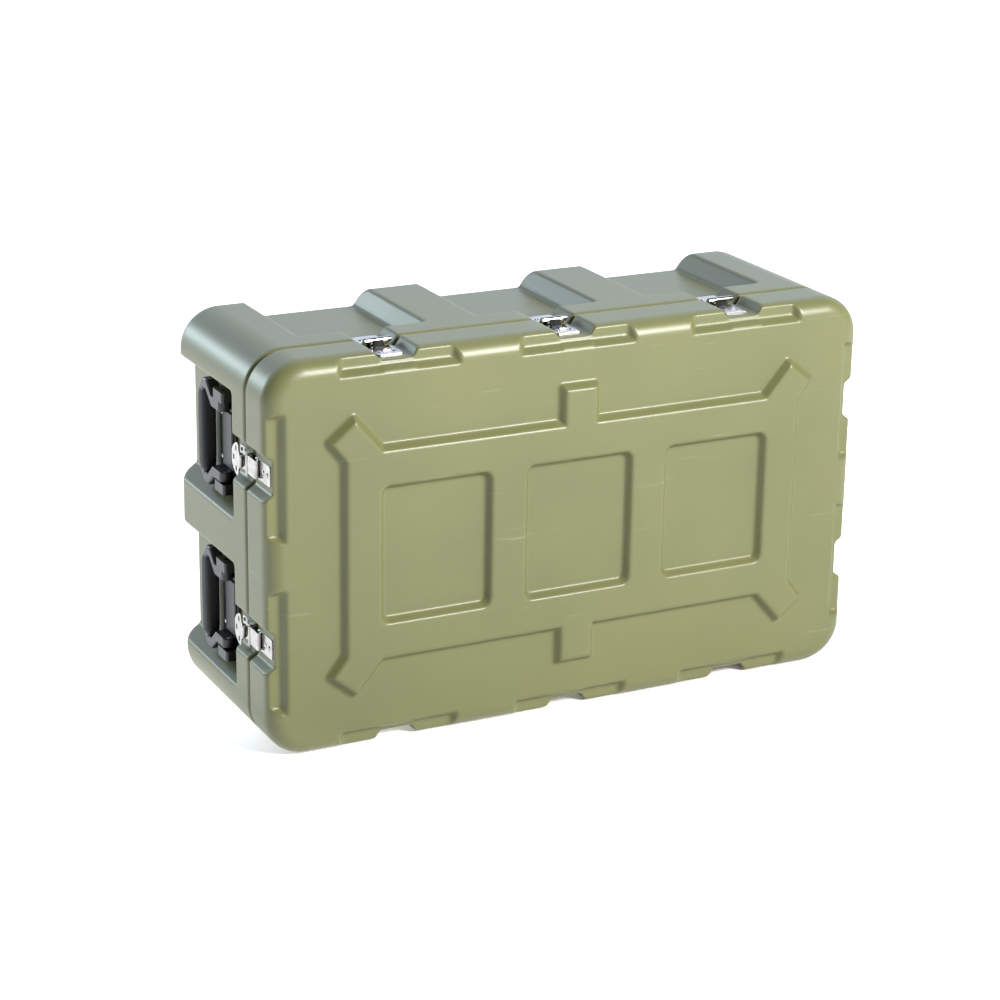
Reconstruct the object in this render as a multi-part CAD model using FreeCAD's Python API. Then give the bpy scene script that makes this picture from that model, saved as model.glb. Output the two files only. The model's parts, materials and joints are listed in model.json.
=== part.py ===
import FreeCAD, Part

# Hard equipment case, standing on its long side with the lid facing -Y.
# Origin: under the middle of the whole case, on the floor plane. +X long axis, +Z up. Millimetres.
# Hardware is drawn in a station frame and then placed on a side of the case:
# x runs along the edge, y is the case's own y, z is the outward normal with 0 at the outer surface.

import math
import os

from FreeCAD import Placement, Rotation, Vector

# ---- overall case -------------------------------------------------------------------------
WIDTH = 870.0            # X
HEIGHT = 528.0           # Z as it stands
LID_DEPTH = 73.0         # lid face to parting plane
BODY_DEPTH = 249.0       # parting plane to back face
CORNER_RADIUS = 55.0     # outline corners seen from the front
WALL = 5.0
FRONT_ROUND = 24.0       # big radius round the lid face
BACK_ROUND = 27.0        # big radius round the back face
PART_GAP = 1.0           # between the two rims
PART_ROUND = 6.0         # rounded rim edges; lets the lid swing about the sunk hinge axis

# ---- rim, tongue and gasket ---------------------------------------------------------------
RIM_WIDTH = 24.0
RIM_DEPTH = 14.0
GROOVE_INSET = 16.5
GASKET_WIDTH = 5.0
GASKET_HEIGHT = 4.2
GASKET_STAND = 0.7       # how far the gasket stands out of the lid rim
GASKET_SLACK = 0.1
TONGUE_GAP = 1.5
TONGUE_THICKNESS = 3.0
TONGUE_HEIGHT = 8.0

# ---- raised frame on the lid --------------------------------------------------------------
FRAME_RISE = 11.6
FRAME_DRAFT = 8.2
FRAME_MARGIN_X = 97.0    # from the end of the case to the frame's edge
FRAME_MARGIN_Z = 117.0
FRAME_SIDE_BAR = 60.4    # end bars, top and bottom bars
FRAME_MID_BAR = 62.8     # bars between the windows
WINDOW_DRAFT = 7.5
EAR_ROOT_SIDE = 18.6     # where a corner ear leaves the end edge
EAR_ROOT_TOP = 59.4      # where it leaves the long edge
EAR_TIP_SIDE = (22.9, 11.3)
EAR_TIP_TOP = (-19.9, 45.5)
TAB_HALF = 29.8
TAB_REACH = 48.2

# ---- rebates, notches, band and recesses --------------------------------------------------
REBATE_HALF = 85.0
REBATE_IN = 26.0
REBATE_RUN = 8.0
REBATE_DEPTH = 12.0
PAD_HALF = 23.0          # small raised pad on the slope of each long-side rebate
PAD_RISE = 0.8
PAD_EDGE = 2.5           # from the pad to the top and foot of the slope
NOTCH_HALF = 31.0
NOTCH_FLOOR_HALF = 22.5
NOTCH_DEPTH = 12.5
BAND_DEPTH = 45.0        # full-size band behind the parting plane
BAND_DRAFT = 11.0
CELL_DEPTH = 27.0
CELL_DRAFT = 14.7
CORNER_RIB_LONG = 92.0   # corner ribs measured along the long sides
CORNER_RIB_END = 62.0    # and along the ends
MID_RIB_LONG = 74.0
MID_RIB_END = 60.0

# ---- hinges -------------------------------------------------------------------------------
HINGE_DROP = 3.6         # axis below the outer surface, equal to the knuckle radius
HINGE_HALF = 17.5
KNUCKLE_SHARE = 7.0      # half length of the lid's middle knuckle
KNUCKLE_GAP = 0.4
PIN_RADIUS = 1.9
RUN_CLEARANCE = 0.05     # radial, for everything that turns on a pin
LEAF = 2.0
LEAF_START = 6.0
LEAF_REACH = 44.0
LEAF_ROUND = 3.0
WEB_RUN = 4.0            # foot of the web that climbs from the leaf to the knuckles
WEB_UNDER = (0.6, 3.4)   # its two corners at the knuckle: from the parting plane, below the axis
WEB_OVER = (3.4, -0.6)
PIN_HEAD = 1.2
PIN_HEAD_RADIUS = 3.0

# ---- rivets -------------------------------------------------------------------------------
RIVET_RADIUS = 1.9
RIVET_HEAD = 3.4
RIVET_RISE = 1.3
RIVET_TAIL = 1.2
RIVET_SLACK = 0.05
HINGE_RIVET_X = 10.0
HINGE_RIVET_Y = 30.0

# ---- twist latches ------------------------------------------------------------------------
PLATE = 1.6
KEEPER_HALF = 13.5
KEEPER_REACH = 55.0
KEEPER_END = 7.0
LIP_AT = 12.5
LIP_HEIGHT = 3.7
LIP_EDGE = 1.0           # from the keeper's sides to the ends of its lip
KEEPER_ROUND = 2.5
KEEPER_RIVET_Y = (33.0, 45.0)
BASE_HALF = 15.0
BASE_START = 3.0
BASE_REACH = 44.0
BASE_ROUND = 3.0
BASE_RIVET_EDGE = 5.0
BOSS_WALL = 2.5          # collar round the cam's post
BOSS_RISE = 1.5
FLANGE = 1.6
FLANGE_REACH = 13.0
FLANGE_START = 1.0
FLANGE_SLOPE = 4.0
FLANGE_COVER = 1.5       # above the claw's pin
CLAW_HALF = 12.0
CLAW_PIVOT = 8.0
CLAW_ARM = 26.0
CLAW_TAIL = 7.0
CLAW_TAIL_HALF = 5.0
CLAW_TAIL_SET = 0.6
CLAW_THICKNESS = 1.4
CLAW_EYE_WALL = 1.0
CLAW_RISE = 6.6          # middle of the claw's plate above the notch's floor
HOOK_RADIUS = 2.9
HOOK_WALL = 1.5
HOOK_RISE = 4.8
CLAW_PIN_RADIUS = 1.2
CAM_AT = 26.0
CAM_RADIUS = 9.5
CAM_POST = 3.0
CAM_RISE = 7.9           # top of the cam above the notch's floor
CAM_THICKNESS = 1.8
SIDE_CLEARANCE = 0.3     # under the cam's post and beside the wing's knuckle
WING_PIN_RISE = 10.3
WING_PIN_BACK = 5.0      # wing hinge line in front of the cam's own axis
WING_PIN_RADIUS = 0.9
WING_KNUCKLE = 1.9
WING_KNUCKLE_HALF = 6.0
WING_LUG = 1.8
WING_THICKNESS = 1.4
WING_OUTLINE = [(0, -2.5), (9.5, -2.5), (13, 1), (20, 2), (22, 5), (21, 10), (16, 18), (9, 23),
                (0, 23.4)]       # right half: along the edge, behind the cam's axis
WING_ROUND = 1.2
WING_SLOT = 2.1
WING_SLOT_HALF = 1.6
WING_SLOTS = ((-13.5, 9), (0, 17), (13.5, 9))

# ---- handles ------------------------------------------------------------------------------
HANDLE_AT = 108.0        # pivot behind the parting plane
HANDLE_LIFT = 13.0       # pivot above the recess floor
BRACKET_HALF = 56.0
BRACKET_FRONT = 16.0
BRACKET_BACK = 38.0
BRACKET_PLATE = 4.0
BRACKET_ROUND = 5.0
BRACKET_PAD_HALF = 38.0
BRACKET_PAD = 3.0
PAD_FRONT = -11.0        # from the pivot
PAD_BACK = 22.0
PAD_CHAMFER = 1.5
EAR_INNER = 55.0
EAR_OUTER = 69.0
EAR_LENGTH = 17.0
EAR_RISE = 22.0
EAR_ROUND = 4.0
HUB_RADIUS = 8.5
HUB_INNER = 41.0
HUB_OUTER = 54.4
BAIL_HALF = 72.0
BAIL_ARM = 15.0
BAIL_THICKNESS = 16.0
BAIL_NECK = (22.0, 28.0)     # where an arm begins to spread, outside and inside
BAIL_SHOULDER = (42.0, 46.0) # where it has spread
BAIL_BAR_FRONT = 53.0
BAIL_BACK = 70.0
BAIL_CHAMFER = 14.0
BAIL_EDGE = 2.5
GRIP_HALF = 56.0
GRIP_FRONT = 49.5
GRIP_BACK = 72.5
GRIP_THICKNESS = 21.0
GRIP_ROUND = 8.5
GRIP_LIP = 1.0           # the core is cut this much longer than the sleeve
HANDLE_PIN = 3.0
HANDLE_RIVET = (30.0, 31.0)

OUT = 12.0               # how far cutting tools stand out of the surface
CUT = 1.0                # how far they pass a face that they open

# ---- derived places -----------------------------------------------------------------------
DEPTH = FRAME_RISE + LID_DEPTH + BODY_DEPTH
Y_FACE = FRAME_RISE - DEPTH / 2
Y_PART = Y_FACE + LID_DEPTH
Y_BACK = Y_PART + BODY_DEPTH
Y_BAND = Y_PART + BAND_DEPTH
Y_LID_RIM = Y_PART - PART_GAP / 2
Y_BODY_RIM = Y_PART + PART_GAP / 2
MID_Z = HEIGHT / 2
FLOOR = -NOTCH_DEPTH
CLAW_Z = FLOOR + CLAW_RISE
HOOK_Z = FLOOR + HOOK_RISE
CAM_TOP = FLOOR + CAM_RISE
WING_PIN_Z = FLOOR + WING_PIN_RISE
CELL_FLOOR = -CELL_DEPTH

LONG_CELL = (WIDTH - 2 * CORNER_RIB_LONG - 2 * MID_RIB_LONG) / 3
END_CELL = (HEIGHT - 2 * CORNER_RIB_END - MID_RIB_END) / 2
LONG_PITCH = LONG_CELL + MID_RIB_LONG
END_PITCH = (END_CELL + MID_RIB_END) / 2


def side_frame(side, along):
    """Placement that carries the station frame to one side of the case."""
    turn, position = {
        "top": (0, Vector(along, 0, HEIGHT)),
        "bottom": (180, Vector(along, 0, 0)),
        "left": (-90, Vector(-WIDTH / 2, 0, along)),
        "right": (90, Vector(WIDTH / 2, 0, along)),
    }[side]
    return Placement(position, Rotation(Vector(0, 1, 0), turn))


LONG_PLACES = {"west": -LONG_PITCH, "middle": 0.0, "east": LONG_PITCH}
END_PLACES = {"upper": MID_Z + END_PITCH, "lower": MID_Z - END_PITCH}

HINGE_STATIONS = {name: side_frame("top", x) for name, x in LONG_PLACES.items()}
LATCH_STATIONS = {"bottom_" + name: side_frame("bottom", x) for name, x in LONG_PLACES.items()}
HANDLE_STATIONS = {}
for end in ("left", "right"):
    for level, z in END_PLACES.items():
        LATCH_STATIONS[end + "_" + level] = side_frame(end, z)
        HANDLE_STATIONS[end + "_" + level] = side_frame(end, z)


# ---- small geometry helpers ---------------------------------------------------------------
def placed(shape, placement):
    copy = shape.copy()
    copy.Placement = placement.multiply(copy.Placement)
    return copy


def polygon_face(points):
    corners = [Vector(*point) for point in points]
    return Part.Face(Part.makePolygon(corners + [corners[0]]))


def frustum(first, second):
    """Solid between two outlines that have the same corners in the same order."""
    faces = [polygon_face(first), polygon_face(second)]
    count = len(first)
    for index in range(count):
        after = (index + 1) % count
        faces.append(polygon_face([first[index], first[after], second[after], second[index]]))
    solid = Part.makeSolid(Part.makeShell(faces))
    if solid.Volume < 0:
        solid.reverse()
    return solid


def inset_outline(points, distance):
    """Moves every side of a counter-clockwise outline inwards by distance."""
    moved = []
    for index, (x, z) in enumerate(points):
        before_x, before_z = points[index - 1]
        after_x, after_z = points[(index + 1) % len(points)]
        length_in = math.hypot(x - before_x, z - before_z)
        length_out = math.hypot(after_x - x, after_z - z)
        in_x, in_z = -(z - before_z) / length_in, (x - before_x) / length_in
        out_x, out_z = -(after_z - z) / length_out, (after_x - x) / length_out
        share = distance / (1 + in_x * out_x + in_z * out_z)
        moved.append((x + share * (in_x + out_x), z + share * (in_z + out_z)))
    return moved


def box(x0, x1, y0, y1, z0, z1):
    return Part.makeBox(x1 - x0, y1 - y0, z1 - z0, Vector(x0, y0, z0))


def rod_x(radius, x0, x1, y, z):
    return Part.makeCylinder(radius, x1 - x0, Vector(x0, y, z), Vector(1, 0, 0))


def rod_z(radius, x, y, z0, z1):
    return Part.makeCylinder(radius, z1 - z0, Vector(x, y, z0), Vector(0, 0, 1))


def prism_x(points, x0, x1):
    """Outline in y and z, pushed along x."""
    face = polygon_face([(x0, y, z) for y, z in points])
    return face.extrude(Vector(x1 - x0, 0, 0))


def prism_z(points, z0, z1):
    """Outline in x and y, pushed along z."""
    face = polygon_face([(x, y, z0) for x, y in points])
    return face.extrude(Vector(0, 0, z1 - z0))


def slot_z(half, radius, x, y, z0, z1):
    """Round-ended slot along x, cut through in z."""
    ends = rod_z(radius, x - half, y, z0, z1).fuse(rod_z(radius, x + half, y, z0, z1))
    return ends.fuse(box(x - half, x + half, y - radius, y + radius, z0, z1)).removeSplitter()


def edges_along(shape, axis):
    """Straight edges parallel to an axis (0, 1 or 2)."""
    found = []
    for edge in shape.Edges:
        span = edge.Vertexes[-1].Point - edge.Vertexes[0].Point
        if span.Length > 1e-6 and abs(abs(span[axis]) / span.Length - 1) < 1e-6:
            found.append(edge)
    return found


def edges_at_y(shape, y):
    return [edge for edge in shape.Edges
            if abs(edge.BoundBox.YMin - y) < 1e-4 and abs(edge.BoundBox.YMax - y) < 1e-4]


def joined(shapes):
    first, rest = shapes[0], shapes[1:]
    return first.fuse(rest).removeSplitter() if rest else first


# ---- the two shells -----------------------------------------------------------------------
def outline_block(inset, y0, y1):
    """The case's rounded outline, inset all round, between two y planes."""
    half_x = WIDTH / 2 - inset
    half_z = HEIGHT / 2 - inset
    block = box(-half_x, half_x, y0, y1, MID_Z - half_z, MID_Z + half_z)
    return block.makeFillet(CORNER_RADIUS - inset, edges_along(block, 1))


def ring(inset, width, y0, y1):
    return outline_block(inset, y0, y1).cut(outline_block(inset + width, y0 - 1, y1 + 1))


def frame_outline():
    """Raised lid frame with its corner ears and centre tabs, counter-clockwise in x and z."""
    edge_x = WIDTH / 2 - FRAME_MARGIN_X
    edge_z = HEIGHT / 2 - FRAME_MARGIN_Z
    quarter = [
        (edge_x, edge_z - EAR_ROOT_SIDE),
        (edge_x + EAR_TIP_SIDE[0], edge_z + EAR_TIP_SIDE[1]),
        (edge_x + EAR_TIP_TOP[0], edge_z + EAR_TIP_TOP[1]),
        (edge_x - EAR_ROOT_TOP, edge_z),
        (TAB_HALF, edge_z),
        (TAB_HALF, edge_z + TAB_REACH),
    ]
    upper = quarter + [(-x, z) for x, z in reversed(quarter)]
    return upper + [(-x, -z) for x, z in upper]


def on_face(points, y):
    return [(x, y, MID_Z + z) for x, z in points]


def window_tools(grow, y_floor):
    """The three windows: flat floors at the lid face, sloping up to the top of the frame."""
    inner = WIDTH / 2 - FRAME_MARGIN_X - FRAME_SIDE_BAR
    half_z = HEIGHT / 2 - FRAME_MARGIN_Z - FRAME_SIDE_BAR
    width = (2 * inner - 2 * FRAME_MID_BAR) / 3
    top = Y_FACE - FRAME_RISE - 2
    flare = WINDOW_DRAFT * (y_floor - top) / FRAME_RISE
    tools = []
    for step in (-1, 0, 1):
        middle = step * (width + FRAME_MID_BAR)
        half_x = width / 2 + grow
        half = half_z + grow
        floor = [(middle - half_x, -half), (middle + half_x, -half),
                 (middle + half_x, half), (middle - half_x, half)]
        tools.append(frustum(on_face(floor, y_floor), on_face(inset_outline(floor, -flare), top)))
    return tools


def raised_frame(thickness):
    """The frame's outer form, or with a wall thickness the hollow behind it."""
    sink = WALL + 1
    top = Y_FACE - FRAME_RISE + thickness
    slope = FRAME_DRAFT / FRAME_RISE
    outline = frame_outline()
    at_top = inset_outline(outline, FRAME_DRAFT + thickness * (1 - slope))
    at_base = inset_outline(at_top, -slope * (Y_FACE + sink - top))
    form = frustum(on_face(at_base, Y_FACE + sink), on_face(at_top, top))
    return form.cut(window_tools(thickness, Y_FACE + thickness))


def rebate_tool(grow):
    """Long step in the lid's front edge at a hardware station."""
    slope = REBATE_RUN / REBATE_DEPTH

    def outline(y):
        spread = grow - slope * (y - Y_FACE)
        x = REBATE_HALF + spread
        z = -(REBATE_IN + spread)
        return [(-x, y, z), (x, y, z), (x, y, OUT), (-x, y, OUT)]

    return frustum(outline(Y_FACE - 5), outline(Y_FACE + REBATE_DEPTH + grow))


def notch_tool(grow, y0, y1):
    """Channel with leaning walls across the edge, where a hinge or latch lies."""
    lean = (NOTCH_HALF - NOTCH_FLOOR_HALF) / NOTCH_DEPTH
    low = NOTCH_FLOOR_HALF + grow
    high = low + lean * (NOTCH_DEPTH + grow + OUT)

    def outline(y):
        return [(-low, y, FLOOR - grow), (low, y, FLOOR - grow), (high, y, OUT), (-high, y, OUT)]

    return frustum(outline(y0), outline(y1))


def cell_tool(length, grow):
    """Recess between two ribs, open at the back, with sloping sides and front."""
    side_slope = CELL_DRAFT / CELL_DEPTH
    front_slope = BAND_DRAFT / CELL_DEPTH

    def outline(z):
        x = length / 2 + grow + side_slope * z
        y0 = Y_BAND - grow - front_slope * z
        y1 = Y_BACK + OUT
        return [(-x, y0, z), (x, y0, z), (x, y1, z), (-x, y1, z)]

    return frustum(outline(CELL_FLOOR - grow), outline(OUT))


def all_stations():
    return list(HINGE_STATIONS.values()) + list(LATCH_STATIONS.values())


def lid_form(inset):
    block = outline_block(inset, Y_FACE + inset, Y_LID_RIM)
    block = block.makeFillet(FRONT_ROUND - inset, edges_at_y(block, Y_FACE + inset))
    if inset == 0:
        block = block.makeFillet(PART_ROUND, edges_at_y(block, Y_LID_RIM))
    block = block.fuse(raised_frame(inset))
    rebate = rebate_tool(inset)
    notch = notch_tool(inset, Y_FACE, Y_PART)
    return block.cut([placed(tool, where) for where in all_stations() for tool in (rebate, notch)])


def body_form(inset):
    block = outline_block(inset, Y_BODY_RIM, Y_BACK - inset)
    block = block.makeFillet(BACK_ROUND - inset, edges_at_y(block, Y_BACK - inset))
    if inset == 0:
        block = block.makeFillet(PART_ROUND, edges_at_y(block, Y_BODY_RIM))
    notch = notch_tool(inset, Y_PART, Y_BAND + BAND_DRAFT)
    long_cell = cell_tool(LONG_CELL, inset)
    end_cell = cell_tool(END_CELL, inset)
    tools = [placed(notch, where) for where in all_stations()]
    for side in ("top", "bottom"):
        tools += [placed(long_cell, side_frame(side, x)) for x in LONG_PLACES.values()]
    for side in ("left", "right"):
        tools += [placed(end_cell, side_frame(side, z)) for z in END_PLACES.values()]
    return block.cut(tools)


def rivet_holes(centres):
    """Clearance holes through a shell, from inside to outside."""
    return [rod_z(RIVET_RADIUS + RIVET_SLACK, x, y, z - 2 * WALL, z + 2 * WALL)
            for x, y, z in centres]


def lid_shell():
    hollow = lid_form(WALL).common(outline_block(0, Y_FACE - FRAME_RISE, Y_LID_RIM - RIM_DEPTH))
    mouth = outline_block(RIM_WIDTH, Y_LID_RIM - RIM_DEPTH - 1, Y_PART)
    shell = lid_form(0).cut([hollow, mouth])
    groove_depth = GASKET_HEIGHT - GASKET_STAND
    groove = ring(GROOVE_INSET - GASKET_SLACK, GASKET_WIDTH + 2 * GASKET_SLACK,
                  Y_LID_RIM - groove_depth, Y_PART)
    holes = [groove]
    for where in HINGE_STATIONS.values():
        holes += [placed(tool, where) for tool in rivet_holes(hinge_rivets(-1))]
    for where in LATCH_STATIONS.values():
        holes += [placed(tool, where) for tool in rivet_holes(keeper_rivets())]
    shell = shell.cut(holes)
    pad = rebate_pad()
    pads = [placed(pad, side_frame(side, x)) for side in ("top", "bottom")
            for x in LONG_PLACES.values()]
    return shell.fuse(pads).removeSplitter()


def rebate_pad():
    """Low pad on the sloping wall of a long-side rebate."""
    slope = REBATE_RUN / REBATE_DEPTH
    y0 = Y_FACE + PAD_EDGE
    y1 = Y_FACE + REBATE_DEPTH - PAD_EDGE
    z0 = -REBATE_IN + slope * (y0 - Y_FACE)
    z1 = -REBATE_IN + slope * (y1 - Y_FACE)
    return prism_x([(y0, z0 - CUT), (y1, z1 - CUT), (y1, z1 + PAD_RISE), (y0, z0 + PAD_RISE)],
                   -PAD_HALF, PAD_HALF)


def body_shell():
    hollow = body_form(WALL).common(outline_block(0, Y_BODY_RIM + RIM_DEPTH, Y_BACK))
    mouth = outline_block(RIM_WIDTH, Y_PART, Y_BODY_RIM + RIM_DEPTH + 1)
    shell = body_form(0).cut([hollow, mouth])
    inset = RIM_WIDTH + TONGUE_GAP
    tongue = ring(inset, TONGUE_THICKNESS, Y_BODY_RIM - TONGUE_HEIGHT, Y_BODY_RIM + RIM_DEPTH)
    bridge = ring(RIM_WIDTH - 1, TONGUE_GAP + TONGUE_THICKNESS + 1, Y_BODY_RIM + PART_ROUND,
                  Y_BODY_RIM + RIM_DEPTH)
    shell = shell.fuse([tongue, bridge]).removeSplitter()
    holes = []
    for where in HINGE_STATIONS.values():
        holes += [placed(tool, where) for tool in rivet_holes(hinge_rivets(1))]
    for where in LATCH_STATIONS.values():
        holes += [placed(tool, where) for tool in rivet_holes(base_rivets())]
    for where in HANDLE_STATIONS.values():
        holes += [placed(tool, where) for tool in rivet_holes(handle_rivets())]
    return shell.cut(holes)


def gasket():
    return ring(GROOVE_INSET, GASKET_WIDTH, Y_LID_RIM - GASKET_HEIGHT + GASKET_STAND,
                Y_LID_RIM + GASKET_STAND)


# ---- rivets -------------------------------------------------------------------------------
def rivet(x, y, seat, plate):
    """Domed rivet: head on a plate whose underside lies at height seat, tail inside the wall."""
    top = seat + plate
    dome = (RIVET_HEAD ** 2 + RIVET_RISE ** 2) / (2 * RIVET_RISE)
    middle = Vector(x, y, top + RIVET_RISE - dome)
    rim_angle = math.degrees(math.asin((dome - RIVET_RISE) / dome))
    head = Part.makeSphere(dome, middle, Vector(0, 0, 1), rim_angle, 90, 360)
    shank = rod_z(RIVET_RADIUS, x, y, seat - WALL - RIVET_TAIL, top)
    tail = rod_z(RIVET_HEAD, x, y, seat - WALL - RIVET_TAIL, seat - WALL)
    return joined([shank, head, tail])


def hinge_rivets(way):
    """Centres of a leaf's rivets; way is -1 on the lid and 1 on the body."""
    return [(x, Y_PART + way * HINGE_RIVET_Y, FLOOR) for x in (-HINGE_RIVET_X, HINGE_RIVET_X)]


def keeper_rivets():
    return [(0, Y_PART - y, FLOOR) for y in KEEPER_RIVET_Y]


def base_rivets():
    x = BASE_HALF - BASE_RIVET_EDGE
    y = Y_PART + BASE_REACH - BASE_RIVET_EDGE
    return [(-x, y, FLOOR), (x, y, FLOOR)]


def handle_rivets():
    x, y = HANDLE_RIVET
    return [(side * x, Y_PART + HANDLE_AT + y, CELL_FLOOR) for side in (-1, 1)]


def rivet_group(groups):
    """All rivets of one shell: (stations, centres, plate thickness)."""
    rivets = []
    for stations, centres, plate in groups:
        for where in stations.values():
            rivets += [placed(rivet(x, y, z, plate), where) for x, y, z in centres]
    return Part.makeCompound(rivets)


# ---- hinges -------------------------------------------------------------------------------
def hinge_leaf(way):
    """Leaf with its raised web and knuckles; way is -1 for the lid leaf, 1 for the body leaf."""
    def at(distance):
        return Y_PART + way * distance

    start, end = sorted((at(LEAF_START), at(LEAF_REACH)))
    plate = box(-HINGE_HALF, HINGE_HALF, start, end, FLOOR, FLOOR + LEAF)
    plate = plate.makeFillet(LEAF_ROUND, edges_along(plate, 2))
    web = [(at(LEAF_START + WEB_RUN), FLOOR + LEAF), (at(LEAF_START), FLOOR),
           (at(WEB_UNDER[0]), -HINGE_DROP - WEB_UNDER[1]),
           (at(WEB_OVER[0]), -HINGE_DROP - WEB_OVER[1])]
    inner = KNUCKLE_SHARE + KNUCKLE_GAP
    spans = [(-KNUCKLE_SHARE, KNUCKLE_SHARE)] if way < 0 else [
        (-HINGE_HALF, -inner), (inner, HINGE_HALF)]
    pieces = [plate]
    for x0, x1 in spans:
        pieces.append(prism_x(web, x0, x1))
        pieces.append(rod_x(HINGE_DROP, x0, x1, Y_PART, -HINGE_DROP))
    bore = rod_x(PIN_RADIUS + RUN_CLEARANCE, -HINGE_HALF - CUT, HINGE_HALF + CUT,
                 Y_PART, -HINGE_DROP)
    holes = [rod_z(RIVET_RADIUS + RIVET_SLACK, x, y, z - CUT, z + LEAF + CUT)
             for x, y, z in hinge_rivets(way)]
    return joined(pieces).cut([bore] + holes)


def hinge_pin():
    pin = rod_x(PIN_RADIUS, -HINGE_HALF, HINGE_HALF, Y_PART, -HINGE_DROP)
    heads = [rod_x(PIN_HEAD_RADIUS, x, x + PIN_HEAD, Y_PART, -HINGE_DROP)
             for x in (-HINGE_HALF - PIN_HEAD, HINGE_HALF)]
    return joined([pin] + heads)


# ---- twist latches ------------------------------------------------------------------------
def latch_keeper():
    """Keeper plate riveted to the lid, with the raised lip that the claw hooks."""
    top = FLOOR + PLATE
    plate = box(-KEEPER_HALF, KEEPER_HALF, Y_PART - KEEPER_REACH, Y_PART - KEEPER_END, FLOOR, top)
    plate = plate.makeFillet(KEEPER_ROUND, edges_along(plate, 2))
    lip_y = Y_PART - LIP_AT
    half = KEEPER_HALF - LIP_EDGE
    lip = box(-half, half, lip_y - PLATE / 2, lip_y + PLATE / 2, FLOOR, top + LIP_HEIGHT)
    gusset = [(lip_y, top), (Y_PART - KEEPER_END, top), (lip_y, top + LIP_HEIGHT - LIP_EDGE)]
    gussets = [prism_x(gusset, x, x + PLATE) for x in (-half, half - PLATE)]
    holes = [rod_z(RIVET_RADIUS + RIVET_SLACK, x, y, z - CUT, z + PLATE + CUT)
             for x, y, z in keeper_rivets()]
    return joined([plate, lip] + gussets).cut(holes)


def latch_base():
    """Base plate with two cheeks that carry the claw's pin and a bore for the cam's post."""
    top = FLOOR + PLATE
    plate = box(-BASE_HALF, BASE_HALF, Y_PART + BASE_START, Y_PART + BASE_REACH, FLOOR, top)
    plate = plate.makeFillet(BASE_ROUND, edges_along(plate, 2))
    pieces = [plate]
    start = Y_PART + BASE_START + FLANGE_START
    reach = Y_PART + FLANGE_REACH
    for x in (-BASE_HALF, BASE_HALF - FLANGE):
        cheek = [(start, FLOOR), (reach + FLANGE_SLOPE, FLOOR),
                 (reach, CLAW_Z + FLANGE_COVER), (start, CLAW_Z + FLANGE_COVER)]
        pieces.append(prism_x(cheek, x, x + FLANGE))
    pieces.append(rod_x(CLAW_PIN_RADIUS, -BASE_HALF, BASE_HALF, Y_PART + CLAW_PIVOT, CLAW_Z))
    pieces.append(rod_z(CAM_POST + BOSS_WALL, 0, Y_PART + CAM_AT, FLOOR, top + BOSS_RISE))
    bore = rod_z(CAM_POST + RUN_CLEARANCE, 0, Y_PART + CAM_AT, FLOOR - CUT,
                 top + BOSS_RISE + CUT)
    holes = [rod_z(RIVET_RADIUS + RIVET_SLACK, x, y, z - CUT, z + PLATE + CUT)
             for x, y, z in base_rivets()]
    return joined(pieces).cut([bore] + holes)


def latch_claw():
    """Claw: a plate from its pin to a rolled hook in front of the keeper's lip, and a tail."""
    pivot = Y_PART + CLAW_PIVOT
    hook = pivot - CLAW_ARM
    low, high = CLAW_Z - CLAW_THICKNESS / 2, CLAW_Z + CLAW_THICKNESS / 2
    eye = CLAW_PIN_RADIUS + RUN_CLEARANCE
    width = CLAW_HALF
    plate = box(-width, width, hook, pivot, low, high)
    barrel = rod_x(HOOK_RADIUS, -width, width, hook, HOOK_Z)
    hub = rod_x(eye + CLAW_EYE_WALL, -width, width, pivot, CLAW_Z)
    tail = box(-CLAW_TAIL_HALF, CLAW_TAIL_HALF, pivot, pivot + CLAW_TAIL,
               low - CLAW_TAIL_SET, high - CLAW_TAIL_SET)
    bore = rod_x(eye, -width - CUT, width + CUT, pivot, CLAW_Z)
    roll = rod_x(HOOK_RADIUS - HOOK_WALL, -width - CUT, width + CUT, hook, HOOK_Z)
    return joined([plate, barrel, hub, tail]).cut([bore, roll])


def latch_cam():
    """Round cam on a post, with two lugs and the pin that the wing folds on."""
    y = Y_PART + CAM_AT
    fold = y - WING_PIN_BACK
    post = rod_z(CAM_POST, 0, y, FLOOR + SIDE_CLEARANCE, CAM_TOP - CAM_THICKNESS)
    disc = rod_z(CAM_RADIUS, 0, y, CAM_TOP - CAM_THICKNESS, CAM_TOP)
    inner = WING_KNUCKLE_HALF + SIDE_CLEARANCE
    pieces = [post, disc]
    for x in (-inner - WING_LUG, inner):
        lug = rod_x(WING_KNUCKLE, x, x + WING_LUG, fold, WING_PIN_Z)
        foot = box(x, x + WING_LUG, fold - WING_KNUCKLE, fold + WING_KNUCKLE, CAM_TOP, WING_PIN_Z)
        pieces += [lug, foot]
    pieces.append(rod_x(WING_PIN_RADIUS, -inner - WING_LUG / 2, inner + WING_LUG / 2,
                        fold, WING_PIN_Z))
    return joined(pieces)


def wing_outline():
    """Butterfly plate round the cam axis, inside a circle so that it turns between the walls."""
    return WING_OUTLINE + [(-x, y) for x, y in reversed(WING_OUTLINE[1:-1])]


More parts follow.
